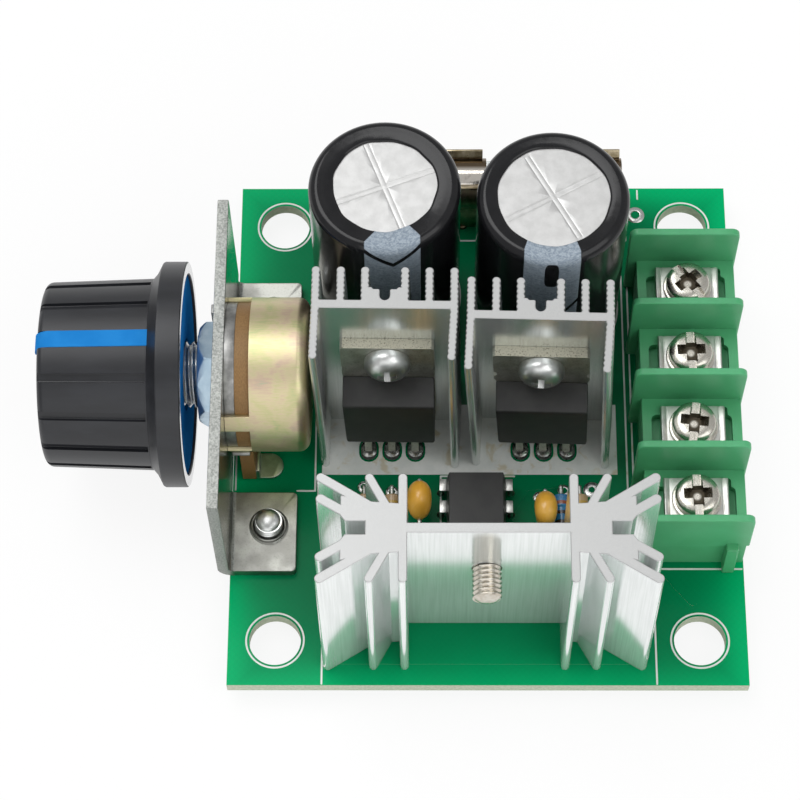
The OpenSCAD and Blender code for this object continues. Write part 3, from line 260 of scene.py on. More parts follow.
def silkFinish():
    # white print, a little yellowed by flux in front of the rear devices
    g = Graph("silkWhite")
    cloud = g.noise(0.8, 4)
    grain = g.noise(14, 3)
    stain = g.noise(0.42, 4, distort=0.6).step(0.54, 0.66) * g.axes()[1].inside(22, 32, 1.0)
    tone = g.blend(cloud.step(0.3, 0.7), (0.78, 0.80, 0.77), (0.70, 0.73, 0.70))
    tone = g.blend(stain * 0.55, tone, (0.52, 0.42, 0.20))
    g.surface(baseColor=tone, roughness=grain * 0.1 + 0.5, normal=g.bump(grain, 0.25, 0.02))


def extrusionFinish():
    # drawn along z: fine lines on the long faces, saw grain on the cut ends
    g = Graph("heatsinkAluminium")
    cutEnd = abs(g.facing()[2]).step(0.35, 0.6)
    lines = g.noise(5, 4, stretch=(1, 1, 0.02))
    saw = g.noise(7, 4, stretch=(1, 0.25, 1))
    speck = g.noise(22, 2)
    smear = g.noise(0.35, 4, stretch=(1, 1, 0.4))
    tone = g.blend(lines.step(0.3, 0.75), (0.90, 0.93, 0.92), (0.76, 0.79, 0.78))
    tone = g.blend(smear.step(0.45, 0.75) * 0.2, tone, (0.66, 0.69, 0.68))
    tone = g.blend(cutEnd, tone, g.blend(speck.step(0.35, 0.65), (0.56, 0.565, 0.56), (0.47, 0.475, 0.475)))
    rear = g.axes()[1].step(21, 24)
    tone = g.blend(rear * (1 - cutEnd) * 0.22, tone, (0.42, 0.45, 0.43))
    rough = lines * 0.05 + 0.11 + cutEnd * 0.38 + rear * 0.10
    height = lines * (1 - cutEnd) + saw * cutEnd * 0.6 + speck * cutEnd * 0.5
    g.surface(baseColor=tone, roughness=rough, metallic=(rear * 0.18 + 0.68) * (1 - cutEnd) + cutEnd,
              normal=g.bump(height, 0.16, 0.02))


def bracketFinish():
    # rolled sheet: smooth faces, torn edges, with dull flecks in its plating
    g = Graph("bracketSteel")
    x, _, z = g.axes()
    _, fy, fz = g.facing()
    plate = 1 - x.step(0.35, 0.6)
    torn = plate * (abs(fz).high(abs(fy))).step(0.6, 0.9)
    fleck = g.noise(5, 5, rough=0.7)
    cloud = g.noise(0.35, 4, stretch=(1, 0.6, 1))
    tone = g.blend(cloud.step(0.3, 0.7), (0.62, 0.63, 0.60), (0.50, 0.51, 0.48))
    tone = g.blend(fleck.step(0.54, 0.72) * 0.5, tone, (0.26, 0.27, 0.25))
    # painted shade: the tabs bent under the sheet are darker and duller, in patches
    flat = (1 - plate) * (1 - z.step(1.5, 2.2))
    tabShadeTone = g.blend(g.noise(0.22, 3).step(0.35, 0.6), (0.26, 0.26, 0.24), (0.44, 0.445, 0.41))
    tone = g.blend(flat, tone, g.blend(fleck.step(0.5, 0.7) * 0.4, tabShadeTone, (0.18, 0.18, 0.16)))
    tone = g.blend(torn * 0.8, tone, g.blend(fleck.step(0.35, 0.6), (0.42, 0.43, 0.41), (0.20, 0.21, 0.20)))
    rough = cloud * 0.14 + 0.10 + torn * 0.35 + flat * 0.18 + fleck.step(0.5, 0.7) * 0.12
    g.surface(baseColor=tone, roughness=rough, metallic=1.0,
              normal=g.bump(fleck + cloud, 0.16, 0.03))


def deviceTabFinish():
    # plated copper tab: dull brown faces, bright sheared top
    g = Graph("tabMetal")
    top = g.facing()[2].step(0.6, 0.9) * g.axes()[2].step(16, 17)
    fleck = g.noise(6, 5, rough=0.75)
    cloud = g.noise(0.7, 3)
    tone = g.blend(cloud.step(0.3, 0.7), (0.62, 0.62, 0.56), (0.46, 0.46, 0.40))
    tone = g.blend(fleck.step(0.5, 0.7) * 0.6, tone, (0.13, 0.12, 0.09))
    crown = g.blend(fleck.step(0.55, 0.62), (0.62, 0.60, 0.50), (0.15, 0.13, 0.09))
    tone = g.blend(top, tone, crown)
    g.surface(baseColor=tone, roughness=fleck * 0.15 + 0.38 + top * 0.2, metallic=1.0,
              normal=g.bump(fleck, 0.5, 0.03))


def fuseFinish():
    # nickel with painted reflections in bright and dark brown bands by the way each face turns, and brown tarnish
    # in patches
    g = Graph("fuseNickel")
    _, fy, fz = g.facing()
    cloud = g.noise(0.8, 4)
    fleck = g.noise(5, 4)
    # painted reflections run along the cap in bands, from each face's direction
    turn = fy * 0.45 + fz * 0.215 + 0.5
    tone = g.ramp(turn, (0.02, (0.66, 0.62, 0.55)), (0.09, (0.10, 0.062, 0.04)), (0.26, (0.12, 0.08, 0.05)),
                  (0.31, (0.80, 0.76, 0.70)), (0.72, (0.78, 0.73, 0.66)), (0.80, (0.15, 0.11, 0.07)),
                  (1.0, (0.12, 0.085, 0.055)))
    tone = g.blend(cloud.step(0.5, 0.75) * 0.4, tone, (0.30, 0.24, 0.18))
    g.surface(baseColor=tone, roughness=fleck * 0.08 + 0.06, metallic=1.0, normal=g.bump(fleck, 0.15, 0.02))


block = {"left": 43.2, "front": 13.52, "wide": 11.9, "pitch": 8.42, "ways": 4, "barrier": 0.8, "high": 12.3,
         "corner": 0.9, "floor": 6.3, "floorLeft": 44.2, "floorRight": 54.9, "step": 5.5, "recess": 0.4,
         "edge": 0.16, "screwX": 49.5665, "well": 1.0, "bore": 1.9, "pocket": ((45.2, -3.6), (53.85, 1.9)),
         "tray": ((46.3, 1.0), (53.4, 2.85)), "rib": (52.6, 53.9, 0.85), "leg": 45.3, "legHalf": 0.6,
         "plateBore": 1.78}


def wayY(i):
    return block["front"] + block["barrier"] / 2 + block["pitch"] * (i + 0.5)


def terminalScrewFinish():
    # nickel gone yellowish, dark in the cross recess, with painted shade on the head's sides
    g = Graph("screwDull")
    x, y, z = g.axes()
    # distance from the nearest screw's axis
    along = g.math("PINGPONG", y - wayY(0), block["pitch"] / 2)
    reach = ((x - block["screwX"]) ** 2 + along ** 2) ** 0.5
    recess = reach.step(0.2, 0.55) * (1 - reach.step(1.72, 1.84)) * (z < 8.43) * (z > 7.85)
    # painted shade: the head's sides are darkened
    paintedDarkSides = (1 - reach.step(2.2, 2.25)) * (1 - abs(g.facing()[2]).step(0.3, 0.6)) * (z > 7.85)
    fleck = g.noise(5, 4)
    tone = g.blend(fleck.step(0.35, 0.7), (0.66, 0.64, 0.58), (0.56, 0.53, 0.46))
    recessAndSidesDark = g.blend(fleck.step(0.3, 0.7), (0.055, 0.043, 0.028), (0.10, 0.08, 0.05))
    tone = g.blend(recess.high(paintedDarkSides * 0.75), tone, recessAndSidesDark)
    g.surface(baseColor=tone, roughness=fleck * 0.12 + 0.20 + recess * 0.3, metallic=1 - recess * 0.5,
              normal=g.bump(fleck, 0.3, 0.03))


def chromateFinish():
    g = Graph("chromateCan")
    sheen = g.noise(0.28, 3, distort=0.6)
    streak = g.noise(6, 3, stretch=(0.15, 1, 1))
    tone = g.ramp(sheen * 0.7 + streak * 0.3, (0.30, (0.42, 0.50, 0.26)), (0.42, (0.58, 0.55, 0.30)),
                  (0.52, (0.66, 0.57, 0.37)), (0.62, (0.62, 0.47, 0.36)), (0.72, (0.48, 0.50, 0.34)))
    # painted reflection of the green board: greener towards the bottom
    low = 1 - g.axes()[2].step(3, 11)
    tone = g.blend(low * 0.8, tone, (0.50, 0.72, 0.30))
    g.surface(baseColor=tone, roughness=streak * 0.12 + 0.36, metallic=1.0,
              normal=g.bump(streak, 0.15, 0.02))


def phenolicFinish():
    g = Graph("phenolic")
    fibre = g.noise(4, 5, stretch=(3, 1, 1))
    tone = g.blend(fibre.step(0.35, 0.65), (0.20, 0.105, 0.030), (0.27, 0.15, 0.05))
    g.surface(baseColor=tone, roughness=0.55, normal=g.bump(fibre, 0.3, 0.03))


def knobFinish():
    g = Graph("knobBlack")
    grain = g.noise(16, 3)
    smear = g.noise(0.5, 3, stretch=(0.3, 1, 1))
    # the shell's rim face towards the bracket has a painted sheen, a lighter tone, and a glossier coat
    rim = g.facing()[0].step(0.9, 0.97) * g.axes()[0].step(-4.6, -4.4)
    tone = g.blend(smear.step(0.35, 0.7), (0.0105, 0.0115, 0.0145), (0.017, 0.0185, 0.023))
    tone = g.blend(rim, tone, (0.10, 0.11, 0.12))
    g.surface(baseColor=tone, roughness=grain * 0.12 + smear * 0.1 + 0.28 - rim * 0.2, coatWeight=rim,
              coatRoughness=0.05, normal=g.bump(grain, 0.25, 0.02))


capacitors = {
    "left": {"at": (16.7, 46.2), "disc": 5.43, "vent": 21, "wobble": 0.07},
    "right": {"at": (34.3, 44.9), "disc": 5.85, "vent": 29, "wobble": 0.05},
}
canShape = {"radius": 8.0, "high": 25.0, "edge": 1.1, "wall": 0.2, "drop": 0.42, "crimp": 0.7, "ventWide": 0.8,
            "ventDepth": 0.028}
# the polarity band of each sleeve: its shift round the can, half width, and the vee and dash across it
bands = {
    "left": {"shift": 0.92, "half": 3.0, "narrow": 0.8, "vee": -3.0, "slope": 0.85, "veeHalf": 0.38,
             "dash": (-16, -12)},
    "right": {"shift": -0.25, "half": 3.0, "narrow": 0.35, "vee": -13.5, "slope": 1.5, "veeHalf": 0.35,
              "dash": (-5.6, -0.3)},
}


def sleeveFinish(name, centre, mark):
    # black shrink sleeve with a pale polarity band that runs over the rim and down the front
    g = Graph(name)
    x, y, z = g.axes()
    right, ahead = x - centre[0], centre[1] - y
    reach = (right ** 2 + ahead ** 2) ** 0.5
    across = g.math("ARCTAN2", right, ahead) * reach - mark["shift"]
    band = abs(across)
    # path over the rim: positive towards the disc, negative down the side
    path = (canShape["radius"] - reach) - (canShape["high"] - z)
    half = mark["half"] - (path - 0.9).high(0) * mark["narrow"]
    stripe = 1 - (band - half).step(-0.05, 0.05)
    line = 1 - abs(path - mark["vee"] - band * mark["slope"]).step(mark["veeHalf"] - 0.06, mark["veeHalf"] + 0.06)
    middle = (path - (mark["dash"][0] + mark["dash"][1]) / 2) * 0.27
    dash = 1 - ((band * 0.87) ** 4 + abs(middle) ** 4).step(0.14, 0.20)
    ink = stripe * (1 - line) * (1 - dash)
    haze = g.noise(0.6, 3)
    tone = g.blend(haze.step(0.3, 0.7), (0.0075, 0.0078, 0.009), (0.011, 0.011, 0.0125))
    field = g.node("ShaderNodeCombineXYZ", None, {0: across * 0.7, 1: path * 1.1, 2: 0.0})
    grain = g.noise(3.6, 2, over=field, distort=1.2)
    pale = g.blend(grain.step(0.35, 0.65), (0.36, 0.42, 0.48), (0.21, 0.26, 0.32))
    tone = g.blend(ink, tone, pale)
    ripple = g.noise(0.45, 2, stretch=(1, 1, 0.5))
    soft = g.bump(ripple, 0.08, 0.2)
    g.surface(baseColor=tone, roughness=haze * 0.06 + 0.13 + ink * 0.22, specularIorLevel=0.32,
              normal=g.bump(grain * ink, 0.9, 0.12, soft))


def canTopFinish():
    g = Graph("canAluminium")
    grain = g.noise(9, 5, rough=0.7)
    cloud = g.noise(0.8, 4)
    tone = g.blend(cloud.step(0.3, 0.7), (0.60, 0.60, 0.595), (0.54, 0.54, 0.535))
    tone = g.blend(grain.step(0.56, 0.7) * 0.5, tone, (0.42, 0.42, 0.415))
    g.surface(baseColor=tone, roughness=cloud * 0.12 + 0.42, metallic=1.0,
              normal=g.bump(grain, 0.3, 0.03))


def terminalFinish():
    g = Graph("terminalGreen")
    cloud = g.noise(0.25, 3)
    grain = g.noise(9, 3)
    tone = g.blend(cloud.step(0.3, 0.7), (0.066, 0.35, 0.15), (0.080, 0.39, 0.175))
    g.surface(baseColor=tone, roughness=grain * 0.12 + 0.34, normal=g.bump(grain, 0.25, 0.03),
              subsurfaceWeight=0.12, subsurfaceRadius=(0.0004, 0.0012, 0.0006), subsurfaceScale=1.0)


resistorBands = {"middle": 22.32 - 7.62 / 2, "places": (-1.5, -0.5, 0.6, 1.7), "half": 0.2}


def bandedFinish(name, ground, second, colours):
    # axial body along y, with its colour bands at their places from its middle
    g = Graph(name)
    cloud = g.noise(0.9, 3)
    tone = g.blend(cloud.step(0.3, 0.7), ground, second)
    half = resistorBands["half"]
    for place, colour in zip(resistorBands["places"], colours):
        middle = resistorBands["middle"] + place
        tone = g.blend(g.axes()[1].inside(middle - half, middle + half, 0.03), tone, colour)
    g.surface(baseColor=tone, roughness=cloud * 0.08 + 0.22, coatWeight=0.5, coatRoughness=0.1,
              normal=g.bump(cloud, 0.12, 0.05))


def glassFinish():
    g = Graph("fuseGlass")
    haze = g.noise(1.2, 3)
    g.surface(baseColor=(0.93, 0.97, 0.96), roughness=haze * 0.03 + 0.02, transmissionWeight=0.92,
              ior=1.46, normal=g.bump(haze, 0.03, 0.05))


for makeFinish in (boardFinish, silkFinish, extrusionFinish, chromateFinish, phenolicFinish, knobFinish,
                   canTopFinish, terminalFinish, glassFinish, fuseFinish, bracketFinish, deviceTabFinish,
                   terminalScrewFinish):
    makeFinish()
for side in capacitors:
    sleeveFinish("sleeve" + side.capitalize(), capacitors[side]["at"], bands[side])
brown, black = (0.02, 0.01, 0.01), (0.01, 0.01, 0.01)
bandedFinish("resistorBlue", (0.018, 0.20, 0.42), (0.012, 0.16, 0.36), (brown, brown, brown, (0.25, 0.05, 0.01)))
bandedFinish("resistorTan", (0.50, 0.36, 0.20), (0.44, 0.30, 0.16),
             ((0.20, 0.05, 0.01), black, (0.45, 0.08, 0.01), (0.50, 0.32, 0.06)))
print("finishes:", len(finishes))

# nodes whose finish isn't simply the one of their slot, by a part of their names
ownFinish = {
    "left_sleeve": "sleeveLeft", "right_sleeve": "sleeveRight", "fuse_clips": "clipBrass", "_frame": "tabMetal",
    "front_plate": "plateGrey", "terminal_screw": "screwDull", "transistor_screws": "screwBright",
    "bracket_screws": "screwBright",
}


def finishFor(node):
    for part, look in ownFinish.items():
        if part in node:
            return finishes[look]
    first, *rest = slotOf[node].split("_")
    return finishes[first + "".join(word.capitalize() for word in rest)]


for name, thing in nodes.items():
    thing.data.materials.clear()
    thing.data.materials.append(finishFor(name))

# making pieces, all in board millimetres

toFrame = Matrix.Translation(at(0, 0, 0)) @ Matrix.Scale(mm, 4)
alongX = Matrix.Rotation(pi / 2, 4, "Y")
# for an outline that stands up: its second measure rises, and it runs along -y or along x
standing = Matrix.Rotation(pi / 2, 4, "X")
sideways = Matrix(((0, 0, 1, 0), (1, 0, 0, 0), (0, 1, 0, 0), (0, 0, 0, 1)))


def shift(x, y, z=0.0):
    return Matrix.Translation((x, y, z))


def turned(angle):
    return Matrix.Rotation(radians(angle), 4, "Z")


def shape(make, *values, **more):
    # a shape by itself, from one of the makers below
    bm = bmesh.new()
    make(bm, *values, **more)
    return bm


def takeShape(node):
    # a joined copy of a node's solid, with its flat faces whole again
    bm = bmesh.new()
    bm.from_mesh(nodes[node].data)
    bm.transform(toFrame.inverted())
    bmesh.ops.remove_doubles(bm, verts=bm.verts, dist=1e-3)
    bmesh.ops.dissolve_limit(bm, angle_limit=radians(0.6), verts=bm.verts, edges=bm.edges)
    return bm


def box(bm, low, high):
    low, high = Vector(low), Vector(high)
    place = Matrix.Translation((low + high) / 2) @ Matrix.Diagonal((*(high - low), 1))
    bmesh.ops.create_cube(bm, size=1, matrix=place)


def rod(bm, low, high, radius, steps=32, end=None):
    # round bar between two points, with another radius at its end if given
    low, high = Vector(low), Vector(high)
    run = high - low
    place = Matrix.Translation((low + high) / 2) @ run.to_track_quat("Z", "Y").to_matrix().to_4x4()
    bmesh.ops.create_cone(bm, cap_ends=True, segments=steps, radius1=radius,
                          radius2=radius if end is None else end, depth=run.length, matrix=place)


def arc(x, y, radius, start, end, count=6):
    turns = [radians(start + (end - start) * i / count) for i in range(count + 1)]
    return [(x + radius * cos(t), y + radius * sin(t)) for t in turns]


def prism(bm, outline, low, high, place=Matrix()):
    # straight bar with the given outline, from low to high along its own z
    face = bm.faces.new([bm.verts.new(place @ Vector((x, y, low))) for x, y in outline])
    made = bmesh.ops.extrude_face_region(bm, geom=[face])["geom"]
    moved = [v for v in made if isinstance(v, bmesh.types.BMVert)]
    bmesh.ops.translate(bm, verts=moved, vec=place.to_3x3() @ Vector((0, 0, high - low)))
    whole = {f for v in moved for f in v.link_faces} | {face}
    bmesh.ops.recalc_face_normals(bm, faces=list(whole))


def lathe(profile, steps=48, closed=False):
    # turns (radius, height) pairs round z
    bm = bmesh.new()
    verts = [bm.verts.new((r, 0, h)) for r, h in profile]
    for pair in zip(verts, verts[1:] + verts[:1] if closed else verts[1:]):
        bm.edges.new(pair)
    bmesh.ops.spin(bm, geom=bm.verts[:] + bm.edges[:], axis=(0, 0, 1), cent=(0, 0, 0), angle=2 * pi,
                   steps=steps, use_merge=True)
    bmesh.ops.remove_doubles(bm, verts=bm.verts, dist=1e-4)
    bmesh.ops.recalc_face_normals(bm, faces=bm.faces)
    return bm


def thread(radius, depth, pitch, length, bore=0.0, steps=40):
    # threaded bar along z from 0 to length, with its ends cut square
    bm = bmesh.new()
    verts = [bm.verts.new((r, 0, h * pitch - pitch)) for r, h in
             ((radius - depth, -0.5), (radius - depth, -0.44), (radius, -0.08), (radius, 0.08),
              (radius - depth, 0.44), (radius - depth, 0.5))]
    for pair in zip(verts, verts[1:]):
        bm.edges.new(pair)
    turns = int(length / pitch) + 3
    bmesh.ops.spin(bm, geom=bm.verts[:] + bm.edges[:], axis=(0, 0, 1), cent=(0, 0, 0), angle=2 * pi * turns,
                   dvec=(0, 0, pitch / steps), steps=steps * turns)
    bmesh.ops.remove_doubles(bm, verts=bm.verts, dist=1e-4)
    rims = []
    for height, side in ((0, "clear_inner"), (length, "clear_outer")):
        made = bmesh.ops.bisect_plane(bm, geom=bm.verts[:] + bm.edges[:] + bm.faces[:], dist=1e-5,
                                      plane_co=(0, 0, height), plane_no=(0, 0, 1), **{side: True})
        rims.append([e for e in made["geom_cut"] if isinstance(e, bmesh.types.BMEdge)])
    if bore:
        for height, rim in zip((0, length), rims):
            ring = bmesh.ops.create_circle(bm, segments=steps, radius=bore, matrix=shift(0, 0, height))["verts"]
            inner = list({e for v in ring for e in v.link_edges})
            bmesh.ops.bridge_loops(bm, edges=rim + inner)
            rim[:] = inner
        bmesh.ops.bridge_loops(bm, edges=rims[0] + rims[1])
    else:
        for rim in rims:
            bmesh.ops.edgeloop_fill(bm, edges=rim)
    bmesh.ops.recalc_face_normals(bm, faces=bm.faces)
    return bm


def add(bm, part, place=Matrix()):
    # moves one shape into another
    part.transform(place)
    mesh = bpy.data.meshes.new("part")
    part.to_mesh(mesh)
    part.free()
    bm.from_mesh(mesh)
    bpy.data.meshes.remove(mesh)
    return bm


def carve(bm, *cutters, how="DIFFERENCE"):
    # takes closed shapes out of another, one after the other, or joins them to it
    for cutter in cutters:
        things = []
        for shape in (bm, cutter):
            mesh = bpy.data.meshes.new("carving")
            shape.to_mesh(mesh)
            shape.free()
            things.append(bpy.data.objects.new("carving", mesh))
            bpy.context.scene.collection.objects.link(things[-1])
        modifier = things[0].modifiers.new("carve", "BOOLEAN")
        modifier.operation, modifier.object, modifier.solver = how, things[1], "EXACT"
        bpy.context.view_layer.update()
        seen = things[0].evaluated_get(bpy.context.evaluated_depsgraph_get())
        bm = bmesh.new()
        bm.from_mesh(seen.to_mesh())
        seen.to_mesh_clear()
        for thing in things:
            mesh = thing.data
            bpy.data.objects.remove(thing)
            bpy.data.meshes.remove(mesh)
        bmesh.ops.remove_doubles(bm, verts=bm.verts, dist=1e-5)
    return bm


def soften(bm, width, angle=35, segments=2, pick=None):
    sharp = [e for e in bm.edges if len(e.link_faces) == 2 and e.calc_face_angle(0) > radians(angle)
             and (pick is None or pick(e))]
    bmesh.ops.bevel(bm, geom=sharp, offset=width, offset_type="OFFSET", affect="EDGES",
                    segments=segments, profile=0.5, material=-1, clamp_overlap=False)
    return bm


def upright(edge):
    return abs((edge.verts[0].co - edge.verts[1].co).normalized().z) > 0.99


def roundBox(low, high, radius, segments=4):
    # box with rounded upright edges
    return soften(shape(box, low, high), radius, segments=segments, pick=upright)


def finishPiece(name, bm, node, angle=40, weighted=True, look=None):
    # takes the node's place, or joins the node's body where it has a look and a slot of its own
    bm.transform(toFrame)
    bmesh.ops.triangulate(bm, faces=[f for f in bm.faces if len(f.verts) > 4])
    mesh = bpy.data.meshes.new(name)
    bm.to_mesh(mesh)
    bm.free()
    if "custom_normal" in mesh.attributes:
        mesh.attributes.remove(mesh.attributes["custom_normal"])
    for face in mesh.polygons:
        face.use_smooth = True
    mesh.set_sharp_from_angle(angle=radians(angle))
    mesh.materials.append(finishes[look] if look else finishFor(node))
    piece = bpy.data.objects.new(name, mesh)
    bpy.context.scene.collection.objects.link(piece)
    if weighted:
        piece.modifiers.new("evenShading", "WEIGHTED_NORMAL").keep_sharp = True
    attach(piece, bodyOf[node])
    if not look:
        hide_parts(node)


bracket = {"sheet": 1.2, "high": 18.7, "from": 12.2, "to": 48.0, "bend": 0.5, "edge": 0.1, "screwX": 4.1,
           "screwYs": (17.6, 43.2), "reach": 7.1, "tab": 9.2, "corner": 0.5, "bore": 1.56, "collar": 1.92,
           "forward": 0.6, "collarHigh": 0.5, "shaft": (31.0, 11.0), "opening": 3.56,
           "key": (37.54, 38.76, 9.54, 12.46)}


def makeBracket():
    # upright sheet with two tabs bent under it, each with a drawn collar for its screw
    b = bracket
    t, r = b["sheet"], b["bend"] + b["sheet"]
    bm = bmesh.new()
    box(bm, (-t, b["from"], r - 0.02), (0, b["to"], b["high"]))
    low, high = (y - b["forward"] + side * b["tab"] / 2 for y, side in zip(b["screwYs"], (1, -1)))
    box(bm, (-t + 0.01, low + 0.05, 0), (-0.01, high - 0.05, r + 1))
    soften(bm, b["edge"])
    bm = carve(bm, shape(rod, (-3, *b["shaft"]), (2, *b["shaft"]), b["opening"], 56),
               shape(box, (-3, b["key"][0], b["key"][2]), (2, b["key"][1], b["key"][3])))
    for y in b["screwYs"]:
        near, far = (y - b["forward"] + side * b["tab"] / 2 for side in (-1, 1))
        add(bm, shape(prism, arc(b["bend"], r, r, 180, 270, 8) + arc(b["bend"], r, b["bend"], 270, 180, 8),
                      -far, -near, standing))
        tab, c = bmesh.new(), b["corner"]
        prism(tab, [(b["bend"] - 0.02, near)] + arc(b["reach"] - c, near + c, c, -90, 0)
              + arc(b["reach"] - c, far - c, c, 0, 90) + [(b["bend"] - 0.02, far)], 0, t)
        soften(tab, b["edge"], pick=lambda e: not upright(e) and max(v.co.x for v in e.verts) > 1)
        add(bm, carve(tab, shape(rod, (b["screwX"], y, -1), (b["screwX"], y, 3), b["collar"] - 0.2)))
        top, wide = t + b["collarHigh"], b["collar"]
        add(bm, lathe([(b["bore"], 0.02), (b["bore"], t), (wide - 0.2, top - 0.02), (wide - 0.1, top),
                       (wide, top - 0.08), (wide + 0.02, t + 0.12), (wide + 0.2, t + 0.02), (wide + 0.2, t - 0.1),
                       (wide - 0.1, 0.02)], 56, closed=True), shift(b["screwX"], y))
    finishPiece("bracketSheet", bm, "pot_bracket", angle=24)


potPin = {"at": (23.5, 7.3), "from": 0.4, "to": 2.3, "radius": 0.3}


def makePotPlate():
    # the can's front plate, with the pin that keeps it from turning
    bm = soften(takeShape("pot_front_plate"), 0.08)
    pin = shape(rod, (potPin["from"], *potPin["at"]), (potPin["to"], *potPin["at"]), potPin["radius"], 20)
    add(bm, soften(pin, 0.1))
    finishPiece("potPlate", bm, "pot_front_plate", angle=24)


def makeTimerCase():
    # the same case turned end for end, so that its notch is towards the front heatsink
    bm = takeShape("timer_body")
    ends = [v.co.y for v in bm.verts]
    middle = (min(ends) + max(ends)) / 2
    for v in bm.verts:
        v.co.y = 2 * middle - v.co.y
    bmesh.ops.reverse_faces(bm, faces=bm.faces)
    finishPiece("timerCase", soften(bm, 0.12), "timer_body", angle=24)


# nodes kept as they are but for eased edges
eased = {"pot_nut": ("potNut", 0.1), "pot_wafer": ("potWafer", 0.05), "pot_can": ("potCan", 0.08),
         "pot_terminals": ("potLugs", 0.06), "timer_pins": ("timerLegs", 0.04), "fuse_clips": ("fuseClips", 0.06)}
makePotPlate()
makeBracket()
for node, (name, width) in eased.items():
    finishPiece(name, soften(takeShape(node), width), node, angle=24)
makeTimerCase()
print("softened pieces are up")

beads = {"wide": 4.1, "thick": 2.4, "round": 0.72, "between": 27.2}


def makeBeads():
    # dipped ceramic capacitors: a plump disc each, flattened over its two leads
    b, bm = beads, bmesh.new()
    source = takeShape("ceramic_capacitors")
    for half in (-1, 1):
        spots = [v.co for v in source.verts if (v.co.x - b["between"]) * half > 0]
        centre = [(min(c[i] for c in spots) + max(c[i] for c in spots)) / 2 for i in range(3)]
        turns = [radians(-90 + 7.5 * i) for i in range(25)]
        drop = lathe([(b["wide"] / 2 * max(cos(t), 0) ** b["round"], b["thick"] / 2 * sin(t)) for t in turns], 48)
        drop.transform(alongX)
        for v in drop.verts:
            v.co.y += 0.10 * sin(2.2 * v.co.z + half)
            v.co.x *= 1 + 0.10 * sin(1.7 * v.co.z - 0.6 * half)
        add(bm, drop, shift(*centre))
    source.free()
    finishPiece("ceramicBeads", bm, "ceramic_capacitors", angle=60)


makeBeads()
print("beads are up")

# terminal block

def makeBlock():
    b = block
    back = b["front"] + b["ways"] * b["pitch"] + b["barrier"]
    bm = bmesh.new()
    box(bm, (b["floorLeft"], b["front"] + b["recess"], 0), (b["floorRight"], back - 0.1, b["floor"]))
    soften(bm, 0.12)
    floor, well = b["floor"], b["floor"] - b["well"]
    pockets, trays = bmesh.new(), bmesh.new()
    for y in (wayY(i) for i in range(b["ways"])):
        for cut, key, deep, corner in ((pockets, "pocket", well, 0.55), (trays, "tray", well + 0.1, 0.3)):
            (left, near), (right, far) = b[key]
            add(cut, roundBox((left, y + near, deep), (right, y + far, floor + 1), corner))
        rod(pockets, (b["screwX"], y, 2.2), (b["screwX"], y, well + 0.1), b["bore"])
    bm = carve(bm, pockets, trays)
    for i in range(b["ways"] + 1):
        y = b["front"] + i * b["pitch"]
        low, r = (b["step"] if i == 0 else 0.0), b["corner"]
        right, high = b["left"] + b["wide"], b["high"]
        outline = [(b["left"], low), (right, low)] + arc(right - r, high - r, r, 0, 90) \
            + arc(b["left"] + r, high - r, r, 90, 180)
        add(bm, soften(shape(prism, outline, -y - b["barrier"], -y, standing), b["edge"], segments=3))
    left, right, out = b["rib"]
    rib = shape(box, (left, b["front"] - out, 0), (right, b["front"] + b["recess"] + 0.1, floor - 0.1))
    add(bm, soften(rib, 0.2))
    finishPiece("terminalBlock", bm, "terminal_housing")


def makeContacts():
    # plates bent down along both sides, each with a narrower tongue behind its screw
    b = block
    top = b["floor"] + 0.2
    bm = bmesh.new()
    section = [(45.42, 5.35), (45.5, 5.85), (45.72, 6.22), (46.1, 6.42), (46.6, top), (52.5, top), (53.0, 6.42),
               (53.35, 6.2), (53.55, 5.85), (53.62, 5.35), (53.1, 5.3), (53.0, 5.6), (52.6, 5.75), (46.5, 5.75),
               (46.05, 5.6), (45.95, 5.3)]
    for y in (wayY(i) for i in range(b["ways"])):
        plate = bmesh.new()
        prism(plate, section, -y - 1.65, -y + 3.4, standing)
        box(plate, (46.55, y + 1.2, 5.75), (53.15, y + 2.65, top - 0.02))
        soften(plate, 0.07)
        plate = carve(plate, shape(rod, (b["screwX"], y, 5), (b["screwX"], y, 8), b["plateBore"]))
        leg, half = b["leg"], b["legHalf"]
        box(plate, (leg - half, y - half, -1.0), (leg + half, y + half, 5.2))
        rod(plate, (leg, y, -3.2), (leg, y, -0.9), half)
        add(bm, plate)
    finishPiece("terminalPlates", bm, "terminal_contacts")


clamp = {"low": 6.52, "top": 7.16, "half": 3.45, "front": 3.15, "back": 2.55, "wing": 0.28, "bore": 1.8}
head = {"low": 7.2, "high": 1.86, "side": 2.36, "flange": 2.62, "slot": 0.86, "slotDepth": 0.62,
        "arm": 1.72, "armWide": 1.15, "armDepth": 1.05, "turn": (2, -7, 2, 38), "radius": 1.7, "thread": 0.2,
        "pitch": 0.6, "length": 4.6}


def makeClamp(i):
    # square washer with a groove by each end that grips the wire
    c, y, x = clamp, wayY(i), block["screwX"]
    bm = bmesh.new()
    rise = [(c["half"], c["top"] - 0.12), (c["half"] - 0.12, c["top"] + 0.04), (2.95, c["top"]),
            (2.86, c["top"] - 0.07), (2.74, c["top"] - 0.07), (2.65, c["top"])]
    section = [(-c["half"], c["low"]), (c["half"], c["low"])] + rise + [(-u, v) for u, v in rise[::-1]]
    prism(bm, [(x + u, v) for u, v in section], -y - c["back"], -y + c["front"], standing)
    wing = c["wing"]
    for u in (x - c["half"] + wing, x + c["half"] - wing):
        box(bm, (u - wing, y - c["front"] + 0.1, c["low"] + 0.1), (u + wing, y + c["back"] - 0.15, c["top"] + 0.5))
    bm = carve(soften(bm, 0.06, angle=50), shape(rod, (x, y, 5), (x, y, 9), c["bore"]))
    finishPiece("clampPlate%d" % (i + 1), bm, "clamp_%d" % (i + 1), angle=35)


